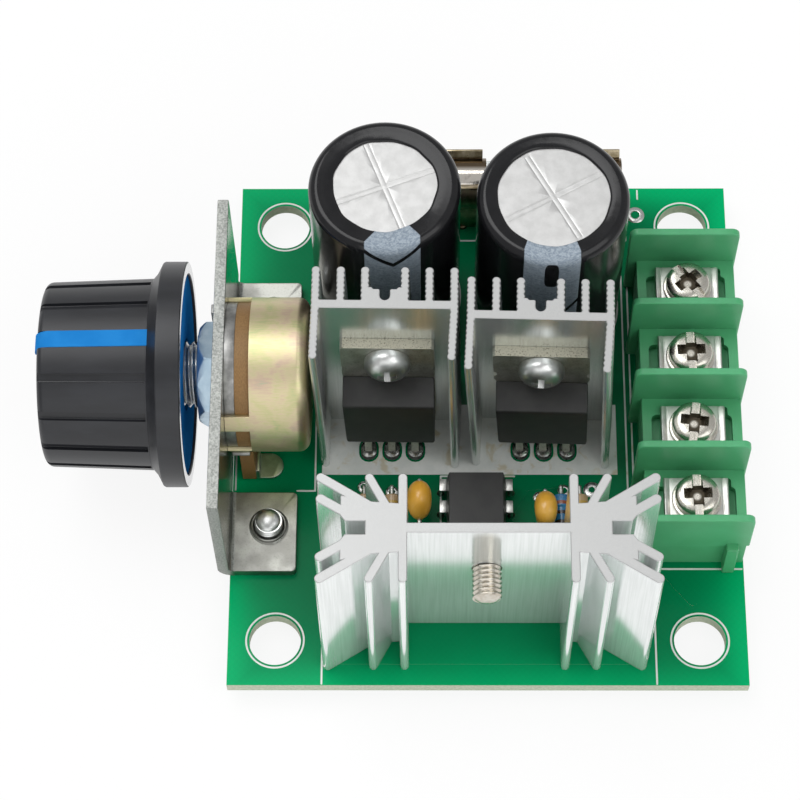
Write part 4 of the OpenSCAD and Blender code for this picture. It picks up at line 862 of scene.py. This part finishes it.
def crossCutters(arm, wide, depth, top, narrow):
    # two crossed wedges that narrow towards the bottom
    outline = [(-arm * narrow, top - depth), (arm * narrow, top - depth), (arm, top + 0.3), (-arm, top + 0.3)]
    return [shape(prism, outline, -wide / 2, wide / 2, turned(turn) @ standing) for turn in (0, 90)]


def makeTerminalScrew(i):
    # cheese head on a flange, with a slot right across and a cross recess
    h, y, x = head, wayY(i), block["screwX"]
    top = h["high"]
    crown = [(1.35 + (h["side"] - 1.35) * sin(radians(a)), top - 0.62 * (1 - cos(radians(a))))
             for a in range(0, 91, 10)]
    bm = lathe([(0, top + 0.02)] + crown
               + [(h["side"], 0.36), (h["flange"] - 0.08, 0.32), (h["flange"], 0.24), (h["flange"], 0.1),
                  (h["flange"] - 0.08, 0.02), (0, 0.02)], 64)
    bm = carve(bm, *crossCutters(h["arm"], h["armWide"], h["armDepth"], top, 0.45))
    bm = carve(bm, shape(box, (-h["slot"] / 2, -4, top - h["slotDepth"]), (h["slot"] / 2, 4, top + 1)))
    bm.transform(turned(h["turn"][i]))
    add(bm, thread(h["radius"], h["thread"], h["pitch"], h["length"]), shift(0, 0, 0.05 - h["length"]))
    bm.transform(shift(x, y, h["low"]))
    finishPiece("terminalScrew%d" % (i + 1), bm, "terminal_screw_%d" % (i + 1), angle=30)


makeBlock()
makeContacts()
for i in range(block["ways"]):
    makeClamp(i)
    makeTerminalScrew(i)
print("terminal block, clamps and screws are up")

# capacitors

def makeCapacitor(side):
    c, k = canShape, capacitors[side]
    r, top, edge = c["radius"], c["high"], c["edge"]
    neck = r - c["crimp"]
    groove = [(r, 2.15), (r - 0.2, 2.4), (neck, 2.85), (neck, 3.15), (r - 0.2, 3.6), (r, 3.85)]
    outer = [(6.9, 0.25)] + arc(r - 0.5, 0.75, 0.5, -90, 0, 4) + groove + [(r, 12), (r, top - edge)] \
        + arc(r - edge, top - edge, edge, 0, 78, 7)
    lip = [(7.0, top - 0.03), (6.5, top - 0.08), (k["disc"] + 0.25, top - 0.12), (k["disc"] + 0.05, top - 0.2),
           (k["disc"], top - 0.3)]
    inside = [(k["disc"] + 0.1, top - c["drop"]), (r - edge, top - c["drop"]),
              (r - c["wall"] - 0.2, top - edge), (r - c["wall"], top - edge - 0.5), (r - c["wall"], 4.2),
              (neck - 0.2, 3.1), (r - c["wall"], 2.0), (r - c["wall"], 0.8), (6.9, 0.45)]
    sleeve = lathe(outer + lip + inside, 96, closed=True)
    for v in sleeve.verts:
        reach = hypot(v.co.x, v.co.y)
        if v.co.z > top - 0.4 and reach < k["disc"] + 0.3:
            turn = atan2(v.co.y, v.co.x)
            grow = 1 + k["wobble"] / reach * (sin(3 * turn + 1) + 0.6 * sin(7 * turn) + 0.4 * sin(13 * turn + 2))
            v.co.x, v.co.y = v.co.x * grow, v.co.y * grow
    sleeve.transform(shift(*k["at"]))
    finishPiece("sleeve" + side.capitalize(), sleeve, "capacitor_%s_sleeve" % side, angle=50)

    face = top - c["drop"] + 0.02
    can = lathe([(0, face)] + [(u, face) for u in (2, 4, 5.2)] + [(r - edge, face)]
                + arc(r - edge - 0.1, face - edge + 0.1, edge - 0.25, 90, 10, 4)
                + [(r - 0.25, 4.3), (r - 1.0, 3.1), (r - 0.25, 1.9), (r - 0.25, 0.7), (6.6, 0.6), (6.6, 2.0),
                   (0, 2.0)], 96)
    # two crossed score lines with a raised middle
    half, deep = c["ventWide"] / 2, -c["ventDepth"]
    section = [(-half, 0.01), (-half + 0.12, deep), (-half + 0.3, -0.004), (half - 0.3, -0.004),
               (half - 0.12, deep), (half, 0.01)]
    can = carve(can, *(shape(prism, section, -5.5, 5.5, turned(k["vent"] + turn) @ shift(0, 0, face) @ standing)
                       for turn in (0, 90)))
    can.transform(shift(*k["at"]))
    finishPiece("can" + side.capitalize(), can, "capacitor_%s_can" % side, angle=20)


for side in capacitors:
    makeCapacitor(side)
print("capacitors are up")

# heatsinks

rearSink = {"half": 7.55, "web": 0.95, "front": 5.8, "back": 3.85, "fin": 0.88, "inner": (4.55, 2.05),
            "high": 25.0, "wave": 0.055, "waveStep": 0.58, "bossHigh": 1.5, "slot": 1.05, "edge": 0.07,
            "hole": (16.15, 1.56)}
# how the two rear assemblies stand askew: turn about the web, and shifts of the top, the foot and the side
# fins' ends
stance = {
    "Left": {"at": (16.8, 31.7), "turn": -0.7, "top": 0.0, "foot": (0.53, -0.88), "splay": (-0.10, -0.25)},
    "Right": {"at": (32.9, 30.4), "turn": -1.5, "top": -0.21, "foot": (1.17, 0.46), "splay": (-0.15, -0.38)},
}
frontSink = {"place": (27.2, 7.5), "edge": 0.07, "hole": (15.5, 1.56)}


def settle(bm, side):
    # moves a rear piece with its assembly; what passes through the board stays in its hole
    k = stance[side]
    turn = Matrix.Rotation(radians(k["turn"]), 2)
    for v in bm.verts:
        place = v.co.xy - Vector(k["at"])
        moved = turn @ place + Vector(k["foot"]) * (1 - v.co.z / rearSink["high"]) + Vector((k["top"], 0))
        if abs(place.x) > 6 and place.y < 0:
            moved.x -= k["splay"][place.x > 0] * place.y / rearSink["front"]
        held = min(max((v.co.z + 1.5) / 1.5, 0), 1)
        v.co.x += (moved.x - place.x) * held
        v.co.y += (moved.y - place.y) * held


def wavy(x, low, high, side):
    # points up a ribbed fin flank; the ribs are cut into it
    s = rearSink
    count = int((high - low) / s["waveStep"] * 5)
    rise = [(high - low) * i / count for i in range(count + 1)]
    return [(x - side * s["wave"] * (1 - cos(2 * pi * (high - low - v) / s["waveStep"])), low + v) for v in rise]


def rearOutline():
    # round the section from the web's left front corner; the web's front face is y = 0
    s = rearSink
    half, t, w, tip = s["half"], s["fin"], s["web"], s["web"] + s["back"]
    r, b = t / 2, s["web"] + s["bossHigh"]
    foot = -s["front"] + r
    points = [(-half + t, 0), (half - t, 0)] + wavy(half - t, foot, -0.1, -1)[::-1]
    points += arc(half - r, foot, r, 180, 360)
    fins = [half - r, s["inner"][0], s["inner"][1], -s["inner"][1], -s["inner"][0], -half + r]
    for k, x in enumerate(fins):
        points += wavy(x + r, foot if k == 0 else b if k == 3 else w, tip - r, 1) + arc(x, tip - r, r, 0, 180)
        points += wavy(x - r, foot if k == 5 else b if k == 2 else w, tip - r, -1)[::-1]
        if k == 2:
            # boss between the middle fins, with its shoulders and its slot
            side = [(x - r - 0.22, b), (x - r - 0.42, b - 0.22), (s["slot"] / 2 + 0.12, b - 0.22),
                    (s["slot"] / 2, b - 0.34)]
            points += side + arc(0, w + s["slot"] / 2, s["slot"] / 2, 0, -180, 8)
            points += [(-u, v) for u, v in side[::-1]]
    return points + arc(-half + r, foot, r, 180, 360) + wavy(-half + t, foot, -0.1, 1)


def makeRearSink(side):
    s = rearSink
    x, y = stance[side]["at"]
    outline = []
    for p in rearOutline():
        if not outline or hypot(p[0] - outline[-1][0], p[1] - outline[-1][1]) > 0.01:
            outline.append(p)
    bm = shape(prism, outline, 0, s["high"], shift(x, y))
    soften(bm, s["edge"], angle=70, segments=1, pick=lambda e: not upright(e))
    height, wide = s["hole"]
    bm = carve(bm, shape(rod, (x, y - 1, height), (x, y + 4, height), wide))
    settle(bm, side)
    finishPiece("sink" + side, bm, "heatsink_" + side.lower(), angle=30, weighted=False)


def makeFrontSink():
    # the section is the solid's own top face, drawn down to the board again
    source = bmesh.new()
    source.from_mesh(nodes["heatsink_front"].data)
    source.transform(toFrame.inverted())
    bmesh.ops.remove_doubles(source, verts=source.verts, dist=1e-3)
    top = max(v.co.z for v in source.verts)
    spare = [f for f in source.faces if f.normal.z < 0.9 or f.calc_center_median().z < top - 0.01]
    bmesh.ops.delete(source, geom=spare, context="FACES")
    bmesh.ops.dissolve_limit(source, angle_limit=radians(1), verts=source.verts, edges=source.edges)
    print("front heatsink's section faces:", len(source.faces))
    down = bmesh.ops.extrude_face_region(source, geom=source.faces[:])["geom"]
    bmesh.ops.translate(source, verts=[v for v in down if isinstance(v, bmesh.types.BMVert)], vec=(0, 0, -top))
    bmesh.ops.recalc_face_normals(source, faces=source.faces)
    soften(source, frontSink["edge"], angle=70, segments=1, pick=lambda e: not upright(e))
    (x, y), (height, wide) = frontSink["place"], frontSink["hole"]
    source = carve(source, shape(rod, (x, y - 2, height), (x, y + 2, height), wide))
    finishPiece("sinkFront", source, "heatsink_front", angle=30, weighted=False)


for side in stance:
    makeRearSink(side)
makeFrontSink()
print("heatsinks are up")

# TO-220 devices

device = {"wide": 9.7, "thick": 4.5, "tab": 1.2, "hole": 1.85, "pitch": 2.54, "leadY": 2.7, "tailY": 4.0,
          "lead": 0.8, "taper": 0.02, "dent": 0.65}
# where each stands, the heights of its case's foot and seam, its front top edge, its tab's top and hole, its
# tab's half width, and how far its leads' foot and tail lie from the tab
devices = {
    "Left": {"node": "transistor_left", "place": shift(*stance["Left"]["at"]), "low": 3.2, "seam": 12.5,
             "brow": 11.7, "top": 18.6, "bore": 16.15, "tabHalf": 4.9, "foot": 3.7, "tail": 0.4},
    "Right": {"node": "transistor_right", "place": shift(*stance["Right"]["at"]), "low": 3.2, "seam": 12.5,
              "brow": 11.7, "top": 18.6, "bore": 16.15, "tabHalf": 5.05, "foot": 3.7, "tail": 0.4},
    "Front": {"node": "regulator", "place": shift(27.2, 8.03) @ turned(180), "low": 2.2, "seam": 11.3,
              "brow": 11.28, "top": 18.1, "bore": 15.5, "tabHalf": 4.85, "foot": 4.0, "tail": 0},
}


def makeDevice(name):
    # the tab's back lies on y = 0 and the plastic faces -y
    d, k = device, devices[name]
    low, seam, brow, top, bore, tabHalf = (k[key] for key in ("low", "seam", "brow", "top", "bore", "tabHalf"))
    half, t, lead, foot, tail = d["wide"] / 2, d["thick"], -d["leadY"], -k["foot"], -d["tailY"]
    edge = [(half, low + 0.3), (half, seam + 0.1), (tabHalf, seam + 0.3), (tabHalf, seam + 1.1),
            (half - 0.1, seam + 1.3), (half - 0.1, seam + 1.9), (tabHalf, seam + 2.1), (tabHalf, top - 0.25),
            (tabHalf - 0.25, top)]
    tab = soften(shape(prism, edge + [(-u, v) for u, v in edge[::-1]], 0, d["tab"], standing), 0.06, angle=60)
    tab = carve(tab, shape(rod, (0, -3, bore), (0, 1, bore), d["hole"]))
    side = [(lead + 0.25, low + 0.4), (lead - 0.25, low + 0.4), (lead - 0.25, low), (foot - 0.25, 0.6),
            (foot - 0.25, 0), (tail - 0.25, -1.55), (tail - 0.25, -3.1), (tail + 0.25, -3.1), (tail + 0.25, -1.55),
            (foot + 0.25, 0), (foot + 0.25, 0.75), (lead + 0.25, low)]
    for i in (-1, 0, 1):
        x = i * d["pitch"]
        leg = soften(shape(prism, side, x - d["lead"] / 2, x + d["lead"] / 2, sideways), 0.06)
        for v in leg.verts:
            v.co.x += k["tail"] * (v.co.z < -1)
        add(tab, leg)

    case = shape(prism, [(-0.02 - d["tab"], low), (-0.02 - d["tab"], seam), (-t + 0.1, brow), (-t, brow - 0.48),
                         (-t, low + 0.35), (-t + 0.35, low)], -half, half, sideways)
    front = shape(prism, [(half, seam + 1), (-half, seam + 1)] + arc(-half + 0.75, low + 0.75, 0.75, 180, 270)
                  + arc(half - 0.75, low + 0.75, 0.75, 270, 360), 0, 9, standing)
    case = carve(case, front, how="INTERSECT")
    soften(case, 0.14, angle=25)
    for v in case.verts:
        v.co.x *= 1 - d["taper"] * (seam - v.co.z) / (seam - low)
    dents = bmesh.new()
    for x in (-half, half):
        rod(dents, (x, -t + 0.9, seam - 1.35), (x, -1, seam - 1.35), d["dent"])
    for bm, piece, ending in ((tab, "tab", "_frame"), (carve(case, dents), "case", "_body")):
        bm.transform(k["place"])
        if name in stance:
            settle(bm, name)
        finishPiece(piece + name, bm, k["node"] + ending)


for name in devices:
    makeDevice(name)
print("devices are up")

# machine screws

screw = {"radius": 1.5, "thread": 0.17, "pitch": 0.5, "head": 2.42, "headHigh": 2.15, "arm": 1.25,
         "armWide": 0.66, "armDepth": 1.05}
# how far each kind reaches into what it holds, and how each cross is turned
fasteners = {"rear": 0.95 + 1.5, "rearTurns": {"Left": 2, "Right": -3}, "front": 1.06 + 3.5,
             "bracket": {"length": 5.05, "tip": 0.6, "head": 1.85, "turns": (30, 75)}}


def machineScrew(length, tip=0.25, h=None):
    # pan head on z = 0 with its threaded end below
    s = screw
    h = h or s["headHigh"]
    dome = [(s["head"] * sin(radians(a)), h * (0.30 + 0.70 * cos(radians(a)))) for a in range(8, 89, 8)]
    bm = lathe([(0, h)] + dome
               + [(s["head"], h * 0.2), (s["head"] - 0.02, 0.1), (s["head"] - 0.12, 0), (0, 0)], 56)
    bm = carve(bm, *crossCutters(s["arm"], s["armWide"], s["armDepth"], h, 0.5))
    add(bm, thread(s["radius"], s["thread"], s["pitch"], length - tip + 0.05), shift(0, 0, tip - length))
    core = s["radius"] - s["thread"]
    end = [(core * cos(radians(a)), -tip * sin(radians(a))) for a in range(0, 91, 10)] if tip > 0.4 else \
        [(s["radius"] - 0.22, 0), (s["radius"] - 0.5, -tip * 0.8), (s["radius"] - 0.75, -tip), (0, -tip)]
    add(bm, lathe([(0, 0.02), (core, 0.02)] + end[1 if tip > 0.4 else 0:]), shift(0, 0, tip - length))
    return bm


def makeScrews():
    f, side = fasteners, fasteners["bracket"]
    pair, tab = bmesh.new(), device["tab"]
    for name, turn in f["rearTurns"].items():
        one = machineScrew(tab + f["rear"])
        one.transform(devices[name]["place"] @ shift(0, -tab, devices[name]["bore"]) @ standing @ turned(turn))
        settle(one, name)
        add(pair, one)
    finishPiece("transistorScrews", pair, "transistor_screws")
    one = machineScrew(tab + f["front"])
    one.transform(devices["Front"]["place"] @ shift(0, -tab, devices["Front"]["bore"]) @ standing)
    finishPiece("regulatorScrew", one, "regulator_screw")
    pair = bmesh.new()
    # these two come up from under the board
    for y, turn in zip(bracket["screwYs"], side["turns"]):
        place = shift(bracket["screwX"], y, -board["thick"]) @ Matrix.Rotation(pi, 4, "X") @ turned(turn)
        add(pair, machineScrew(side["length"], side["tip"], side["head"]), place)
    finishPiece("bracketScrews", pair, "bracket_screws")


makeScrews()
print("machine screws are up")

# potentiometer's bushing and the knob's shell

bushing = {"radius": 3.5, "thread": 0.4, "pitch": 0.75, "from": -7.0, "bore": 3.06}


def makeBushing():
    b = bushing
    bm = thread(b["radius"], b["thread"], b["pitch"], -b["from"], b["bore"], 56)
    bm.transform(shift(b["from"], *bracket["shaft"]) @ alongX)
    finishPiece("potBushing", bm, "pot_bushing", angle=30)


knob = {"rim": 12.0, "root": 10.2, "end": 9.82, "length": 15.0, "skirt": 2.6, "flare": 1.0, "wall": 1.3,
        "endWall": 1.6, "corner": 0.75, "flutes": 15, "flute": 0.95, "fluteDepth": 0.42, "pointer": 1.84, "tilt": 4,
        "inside": 8.3, "from": -4.2}


def makeKnob():
    k = knob
    grip = k["skirt"] + k["flare"]
    bend, long = k["corner"], k["length"]
    lip = k["rim"] - k["wall"]
    outer = [(lip, 0.1), (lip + 0.1, 0), (k["rim"] - 0.12, 0), (k["rim"], 0.12), (k["rim"], k["skirt"] - 0.25),
             (k["rim"] - 0.08, k["skirt"] - 0.08), (k["rim"] - 0.25, k["skirt"]),
             (k["root"] + 0.6, k["skirt"] + 0.5), (k["root"] + 0.2, grip - 0.15), (k["root"], grip)]
    outer += [(k["root"] + (k["end"] - k["root"]) * i / 4, grip + (long - bend - grip) * i / 4) for i in (1, 2, 3)]
    outer += arc(k["end"] - bend, long - bend, bend, 0, 90, 7)
    inner = [(4, long), (0, long), (0, long - k["endWall"]), (k["inside"], long - k["endWall"]),
             (k["inside"], k["skirt"]), (lip, k["skirt"])]
    bm = lathe(outer + inner, 120, closed=True)
    # the axis is met twice, so the doubled edge on it goes
    bmesh.ops.delete(bm, geom=[e for e in bm.edges if not e.link_faces], context="EDGES")
    slope = atan2(k["root"] - k["end"], long - bend - grip)
    cuts = bmesh.new()
    for i in range(1, k["flutes"]):
        groove = shape(box, (-k["fluteDepth"], -k["flute"] / 2, 0.12), (2, k["flute"] / 2, 14))
        soften(groove, 0.12, pick=lambda e: upright(e) and e.verts[0].co.x < 0)
        place = turned(360 * i / k["flutes"] - k["tilt"]) @ shift(k["root"], 0, grip) \
            @ Matrix.Rotation(-slope, 4, "Y")
        groove.transform(place)
        add(cuts, groove)
    bm = carve(bm, cuts)
    # the pointer's gap
    gap = shape(box, (k["inside"] - 0.56, -k["pointer"] / 2, grip - 0.02), (k["rim"], k["pointer"] / 2, long + 1))
    gap.transform(turned(-k["tilt"]))
    bm = carve(bm, gap)
    bm.transform(shift(k["from"], *bracket["shaft"]) @ alongX.inverted())
    finishPiece("knobShell", bm, "knob_shell", angle=32)


makeBushing()
makeKnob()
print("bushing and knob are up")

# silkscreen, pads and traces on the board

silk = {
    "line": 0.19, "high": 0.03, "ring": 3.06, "canRing": 8.12, "block": ((9.67, 24.2), (41.84, 32.6)), "lines": [
        ((8.95, 22.27), (8.95, 38.9)), ((7.0, 22.27), (8.95, 22.27)),
        ((0.3, 22.4), (0.3, 38.7)), ((0.3, 38.7), (8.95, 38.7)),
        ((10.0, 0.15), (10.0, 13.6)), ((45.3, 0.15), (45.3, 13.3)), ((10.0, 13.6), (14.0, 13.6)),
        ((42.9, 22.4), (42.9, 48.6)), ((43.55, 13.15), (43.55, 48.4)), ((43.55, 13.15), (54.8, 13.15)),
        ((43.55, 48.4), (54.8, 48.4)), ((45.1, 58.6), (45.1, 59.7)),
        ((21.9, 53.2), (43.6, 53.2)), ((21.9, 53.2), (21.9, 59.7)), ((43.6, 53.2), (43.6, 59.7)),
        ((21.9, 59.7), (43.6, 59.7)), ((22.6, 24.0), (30.6, 24.0)), ((22.6, 12.6), (22.6, 24.0)),
    ],
}


def stroke(bm, start, end, wide=None, z=0.0, high=None):
    # flat line on the board between two points, with round ends
    wide, high = wide or silk["line"], high or silk["high"]
    run = Vector(end) - Vector(start)
    turn = degrees(atan2(run.y, run.x))
    outline = arc(*end, wide / 2, turn - 90, turn + 90) + arc(*start, wide / 2, turn + 90, turn + 270)
    prism(bm, outline, z - 0.01, z + high)


def ringOn(bm, x, y, radius, steps=64):
    low, high, half = -0.01, silk["high"], silk["line"] / 2
    add(bm, lathe([(radius - half, low), (radius + half, low), (radius + half, high), (radius - half, high)], steps,
                  closed=True), shift(x, y))


def makeSilk():
    bm = bmesh.new()
    inset = board["holeInset"]
    for y in (inset, board["depth"] - inset):
        for x in (inset, board["width"] - inset):
            ringOn(bm, x, y, silk["ring"])
    for i, (start, end) in enumerate(silk["lines"]):
        stroke(bm, start, end, high=silk["high"] + i * 0.0006)
    # the printed block under the two rear devices
    (left, near), (right, far) = silk["block"]
    prism(bm, [(left, near), (right, near), (right, far), (left, far)], -0.01, silk["high"])
    for k in capacitors.values():
        ringOn(bm, *k["at"], silk["canRing"], steps=96)
    finishPiece("silkscreen", bm, "circuit_board", weighted=False, look="silkWhite")


# middle legs of the three devices, and the pads round all their legs
legs = {"rear": ((17.3, 27.13), (33.85, 27.13)), "front": (27.2, 12.03), "pad": 0.88, "bare": 1.08}
# the other tinned rings: place, outer radius and hole
rings = ((44.8, 56.5, 1.05, 0.5), (39.0, 22.4, 0.95, 0.34), (14.26, 22.74, 0.7, 0.34), (17.31, 22.15, 0.7, 0.34),
         (36.0, 22.3, 0.7, 0.34), (33.3, 21.5, 0.7, 0.34))


def oval(radius):
    return arc(0, 0.35, radius, 0, 180, 8) + arc(0, -0.35, radius, 180, 360, 8)


def makePads():
    # tinned rings with a little solder risen round each lead on the upper face
    bm = bmesh.new()
    for x, y, r, hole in rings:
        add(bm, lathe([(hole, -0.01), (r, -0.01), (r - 0.06, 0.05), (hole + 0.08, 0.12), (hole, 0.1)], 32,
                      closed=True), shift(x, y))
    for x, y in (*legs["rear"], legs["front"]):
        for i in (-1, 0, 1):
            pad = shape(prism, oval(legs["pad"]), -0.01, 0.06)
            add(pad, lathe([(legs["pad"], 0.03), (0.8, 0.1), (0.66, 0.2), (0.54, 0.36), (0, 0.4)], 24))
            add(bm, pad, shift(x + i * device["pitch"], y))
    finishPiece("topPads", bm, "circuit_board", weighted=False, look="solder")


joint = {"pad": 0.22, "high": 1.2}


def makeJoints():
    # solder drawn up round each lead on the underside, on its pad
    source = takeShape("solder_joints")
    islands, left = [], set(source.verts)
    while left:
        island, queue = set(), [left.pop()]
        while queue:
            vert = queue.pop()
            island.add(vert)
            near = [e.other_vert(vert) for e in vert.link_edges]
            queue += [v for v in near if v in left]
            left -= set(near)
        islands.append([v.co.copy() for v in island])
    bm, under = bmesh.new(), -board["thick"]
    for spots in islands:
        middle = sum(spots, Vector()) / len(spots)
        low = min(c.z for c in spots)
        foot = max((c - middle).xy.length for c in spots)
        lead = max((c - middle).xy.length for c in spots if c.z < low + 0.05)
        rise = (joint["high"] - 0.15) / 5
        curve = [(lead + 0.04 + (foot - lead) * (1 - i / 5) ** 2.2, under - 0.05 - rise * i) for i in range(6)]
        rim = foot + joint["pad"]
        profile = [(0, under + 0.02), (rim, under + 0.02), (rim, under - 0.03), (foot + 0.04, under - 0.035)] \
            + curve + [(lead, low + 0.12), (lead - 0.09, low), (0, low)]
        add(bm, lathe(profile, 32), shift(middle.x, middle.y))
    source.free()
    print("joints:", len(islands))
    finishPiece("solderJoints", bm, "solder_joints", angle=50)


# each track's corners and its width
tracks = {
    "top": [
        ([(30.5, 20.0), (31.9, 22.6), (34.9, 22.9), (36.6, 23.6)], 0.6),
        ([(46.4, 13.0), (48.2, 10.8), (49.4, 9.4)], 0.9),
        ([(11.2, 9.0), (12.4, 12.0), (12.4, 20.0), (11.0, 22.4)], 0.7),
        ([(44.2, 52.0), (44.2, 54.6), (44.8, 56.4)], 0.8),
        ([(11.2, 2.6), (43.8, 2.6)], 0.5),
    ],
    "under": [
        ([(45.3, 18.13), (41.0, 18.13), (35.9, 26.4)], 2.4), ([(45.3, 26.55), (41.0, 30.5), (37.0, 43.0)], 2.8),
        ([(45.3, 34.97), (48.0, 37.5), (48.0, 50.0), (43.0, 55.0)], 2.6), ([(45.3, 43.39), (42.6, 47.0)], 2.2),
        ([(33.3, 26.4), (28.0, 27.7), (19.7, 27.7)], 2.2), ([(24.7, 12.0), (20.0, 14.0), (14.0, 20.5)], 1.2),
        ([(29.7, 12.0), (34.5, 15.5), (34.5, 20.0)], 1.0), ([(2.6, 25.9), (8.0, 25.9), (12.0, 23.0)], 0.9),
        ([(14.2, 46.2), (9.0, 41.0), (9.0, 31.0)], 1.4), ([(19.2, 46.2), (25.0, 49.0), (31.8, 44.9)], 3.0),
    ],
}


def makeTraces():
    # copper that shows through the mask as faint raised tracks
    bm, under = bmesh.new(), -board["thick"]
    for path, wide in tracks["top"]:
        for i, (start, end) in enumerate(zip(path, path[1:])):
            stroke(bm, start, end, wide, high=0.016 + i * 0.002)
    for k, (path, wide) in enumerate(tracks["under"]):
        for i, (start, end) in enumerate(zip(path, path[1:])):
            stroke(bm, start, end, wide, under - 0.02 - k * 0.002 - i * 0.001, 0.022)
    # bare mask left round the rear devices' legs
    for x, y in legs["rear"]:
        for i in (-1, 0, 1):
            prism(bm, oval(legs["bare"]), -0.01, 0.045, shift(x + i * device["pitch"], y))
    finishPiece("tracks", bm, "circuit_board", weighted=False, look="boardMask")


makeSilk()
makePads()
makeJoints()
makeTraces()
print("board's print, pads and tracks are up")

# camera, floor and light

# where the camera stands in the board's millimetres, and how it is turned in degrees
view = {"from": (21.50, -96.82, 273.56), "yaw": -1.486, "down": 64.569, "roll": -1.364, "lens": 123.53}


def makeCamera():
    yaw, down, roll = (radians(view[k]) for k in ("yaw", "down", "roll"))
    ahead = Vector((sin(yaw) * cos(down), cos(yaw) * cos(down), -sin(down)))
    right = Vector((cos(yaw), -sin(yaw), 0))
    up = right.cross(ahead)
    across = right * cos(roll) + up * sin(roll)
    above = up * cos(roll) - right * sin(roll)
    camera = bpy.data.objects.new("camera", bpy.data.cameras.new("camera"))
    camera.data.lens = view["lens"]
    camera.data.sensor_width = 36
    turn = Matrix((across, above, -ahead)).transposed().to_4x4()
    camera.matrix_world = Matrix.Translation(at(*view["from"])) @ turn
    camera.data.clip_start, camera.data.clip_end = 0.01, 10
    bpy.context.scene.collection.objects.link(camera)
    bpy.context.scene.camera = camera


studio = {
    "floorSize": 3.0, "floorTone": 0.93, "floorGlow": 0.88, "gap": 0.00002, "sky": 0.50, "lamps": [
        # place, aim, width and power
        ((-0.30, 0.25, 0.75), (0, 0, 0), 0.60, 3.6),
        ((0.45, -0.35, 0.60), (0, 0, 0), 0.60, 1.8),
        ((0.0, -0.90, 0.40), (0, 0, 0.01), 1.00, 2.6),
    ],
}


def makeStage():
    low = cadBox[0].z - studio["gap"]
    bm = shape(bmesh.ops.create_grid, x_segments=2, y_segments=2, size=studio["floorSize"] / 2,
               matrix=shift(0, 0, low))
    mesh = bpy.data.meshes.new("floor")
    bm.to_mesh(mesh)
    bm.free()
    floor = bpy.data.objects.new("floor", mesh)
    bpy.context.scene.collection.objects.link(floor)
    # grey paper that glows for the camera and its reflections alone
    g = Graph("floorPaper")
    tone = studio["floorTone"]
    paper = g.node("ShaderNodeBsdfDiffuse", None, {
        "Color": g.blend(g.noise(0.4, 3), (tone,) * 3, (tone - 0.01,) * 3), "Roughness": 0.5})
    glow = g.node("ShaderNodeEmission", None, {"Color": (1, 1, 1), "Strength": 1.0})
    seen, glossy, through = (g.node("ShaderNodeLightPath", out="Is %s Ray" % kind)
                             for kind in ("Camera", "Glossy", "Transmission"))
    g.close(g.node("ShaderNodeMixShader", None, {
        0: seen.high(glossy).high(through) * studio["floorGlow"], 1: paper, 2: glow}))
    floor.data.materials.append(g.owner)

    # a white surround for the camera, and a dimmer one for the light
    world = bpy.data.worlds.new("studio")
    g = Graph("studio", world, "ShaderNodeOutputWorld")
    light, white = (g.node("ShaderNodeBackground", None, {"Color": (1, 1, 1), "Strength": strength})
                    for strength in (studio["sky"], 1.0))
    seen = g.node("ShaderNodeLightPath", out="Is Camera Ray")
    g.close(g.node("ShaderNodeMixShader", None, {0: seen, 1: light, 2: white}))
    bpy.context.scene.world = world

    for i, (place, aim, width, power) in enumerate(studio["lamps"]):
        lamp = bpy.data.lights.new("lamp%d" % (i + 1), "AREA")
        lamp.size, lamp.energy = width, power
        thing = bpy.data.objects.new(lamp.name, lamp)
        thing.location = place
        thing.rotation_euler = (Vector(aim) - Vector(place)).to_track_quat("-Z", "Y").to_euler()
        bpy.context.scene.collection.objects.link(thing)


makeCamera()
makeStage()
bpy.context.scene.view_settings.view_transform = "Standard"
print("camera, floor and lamps are up")
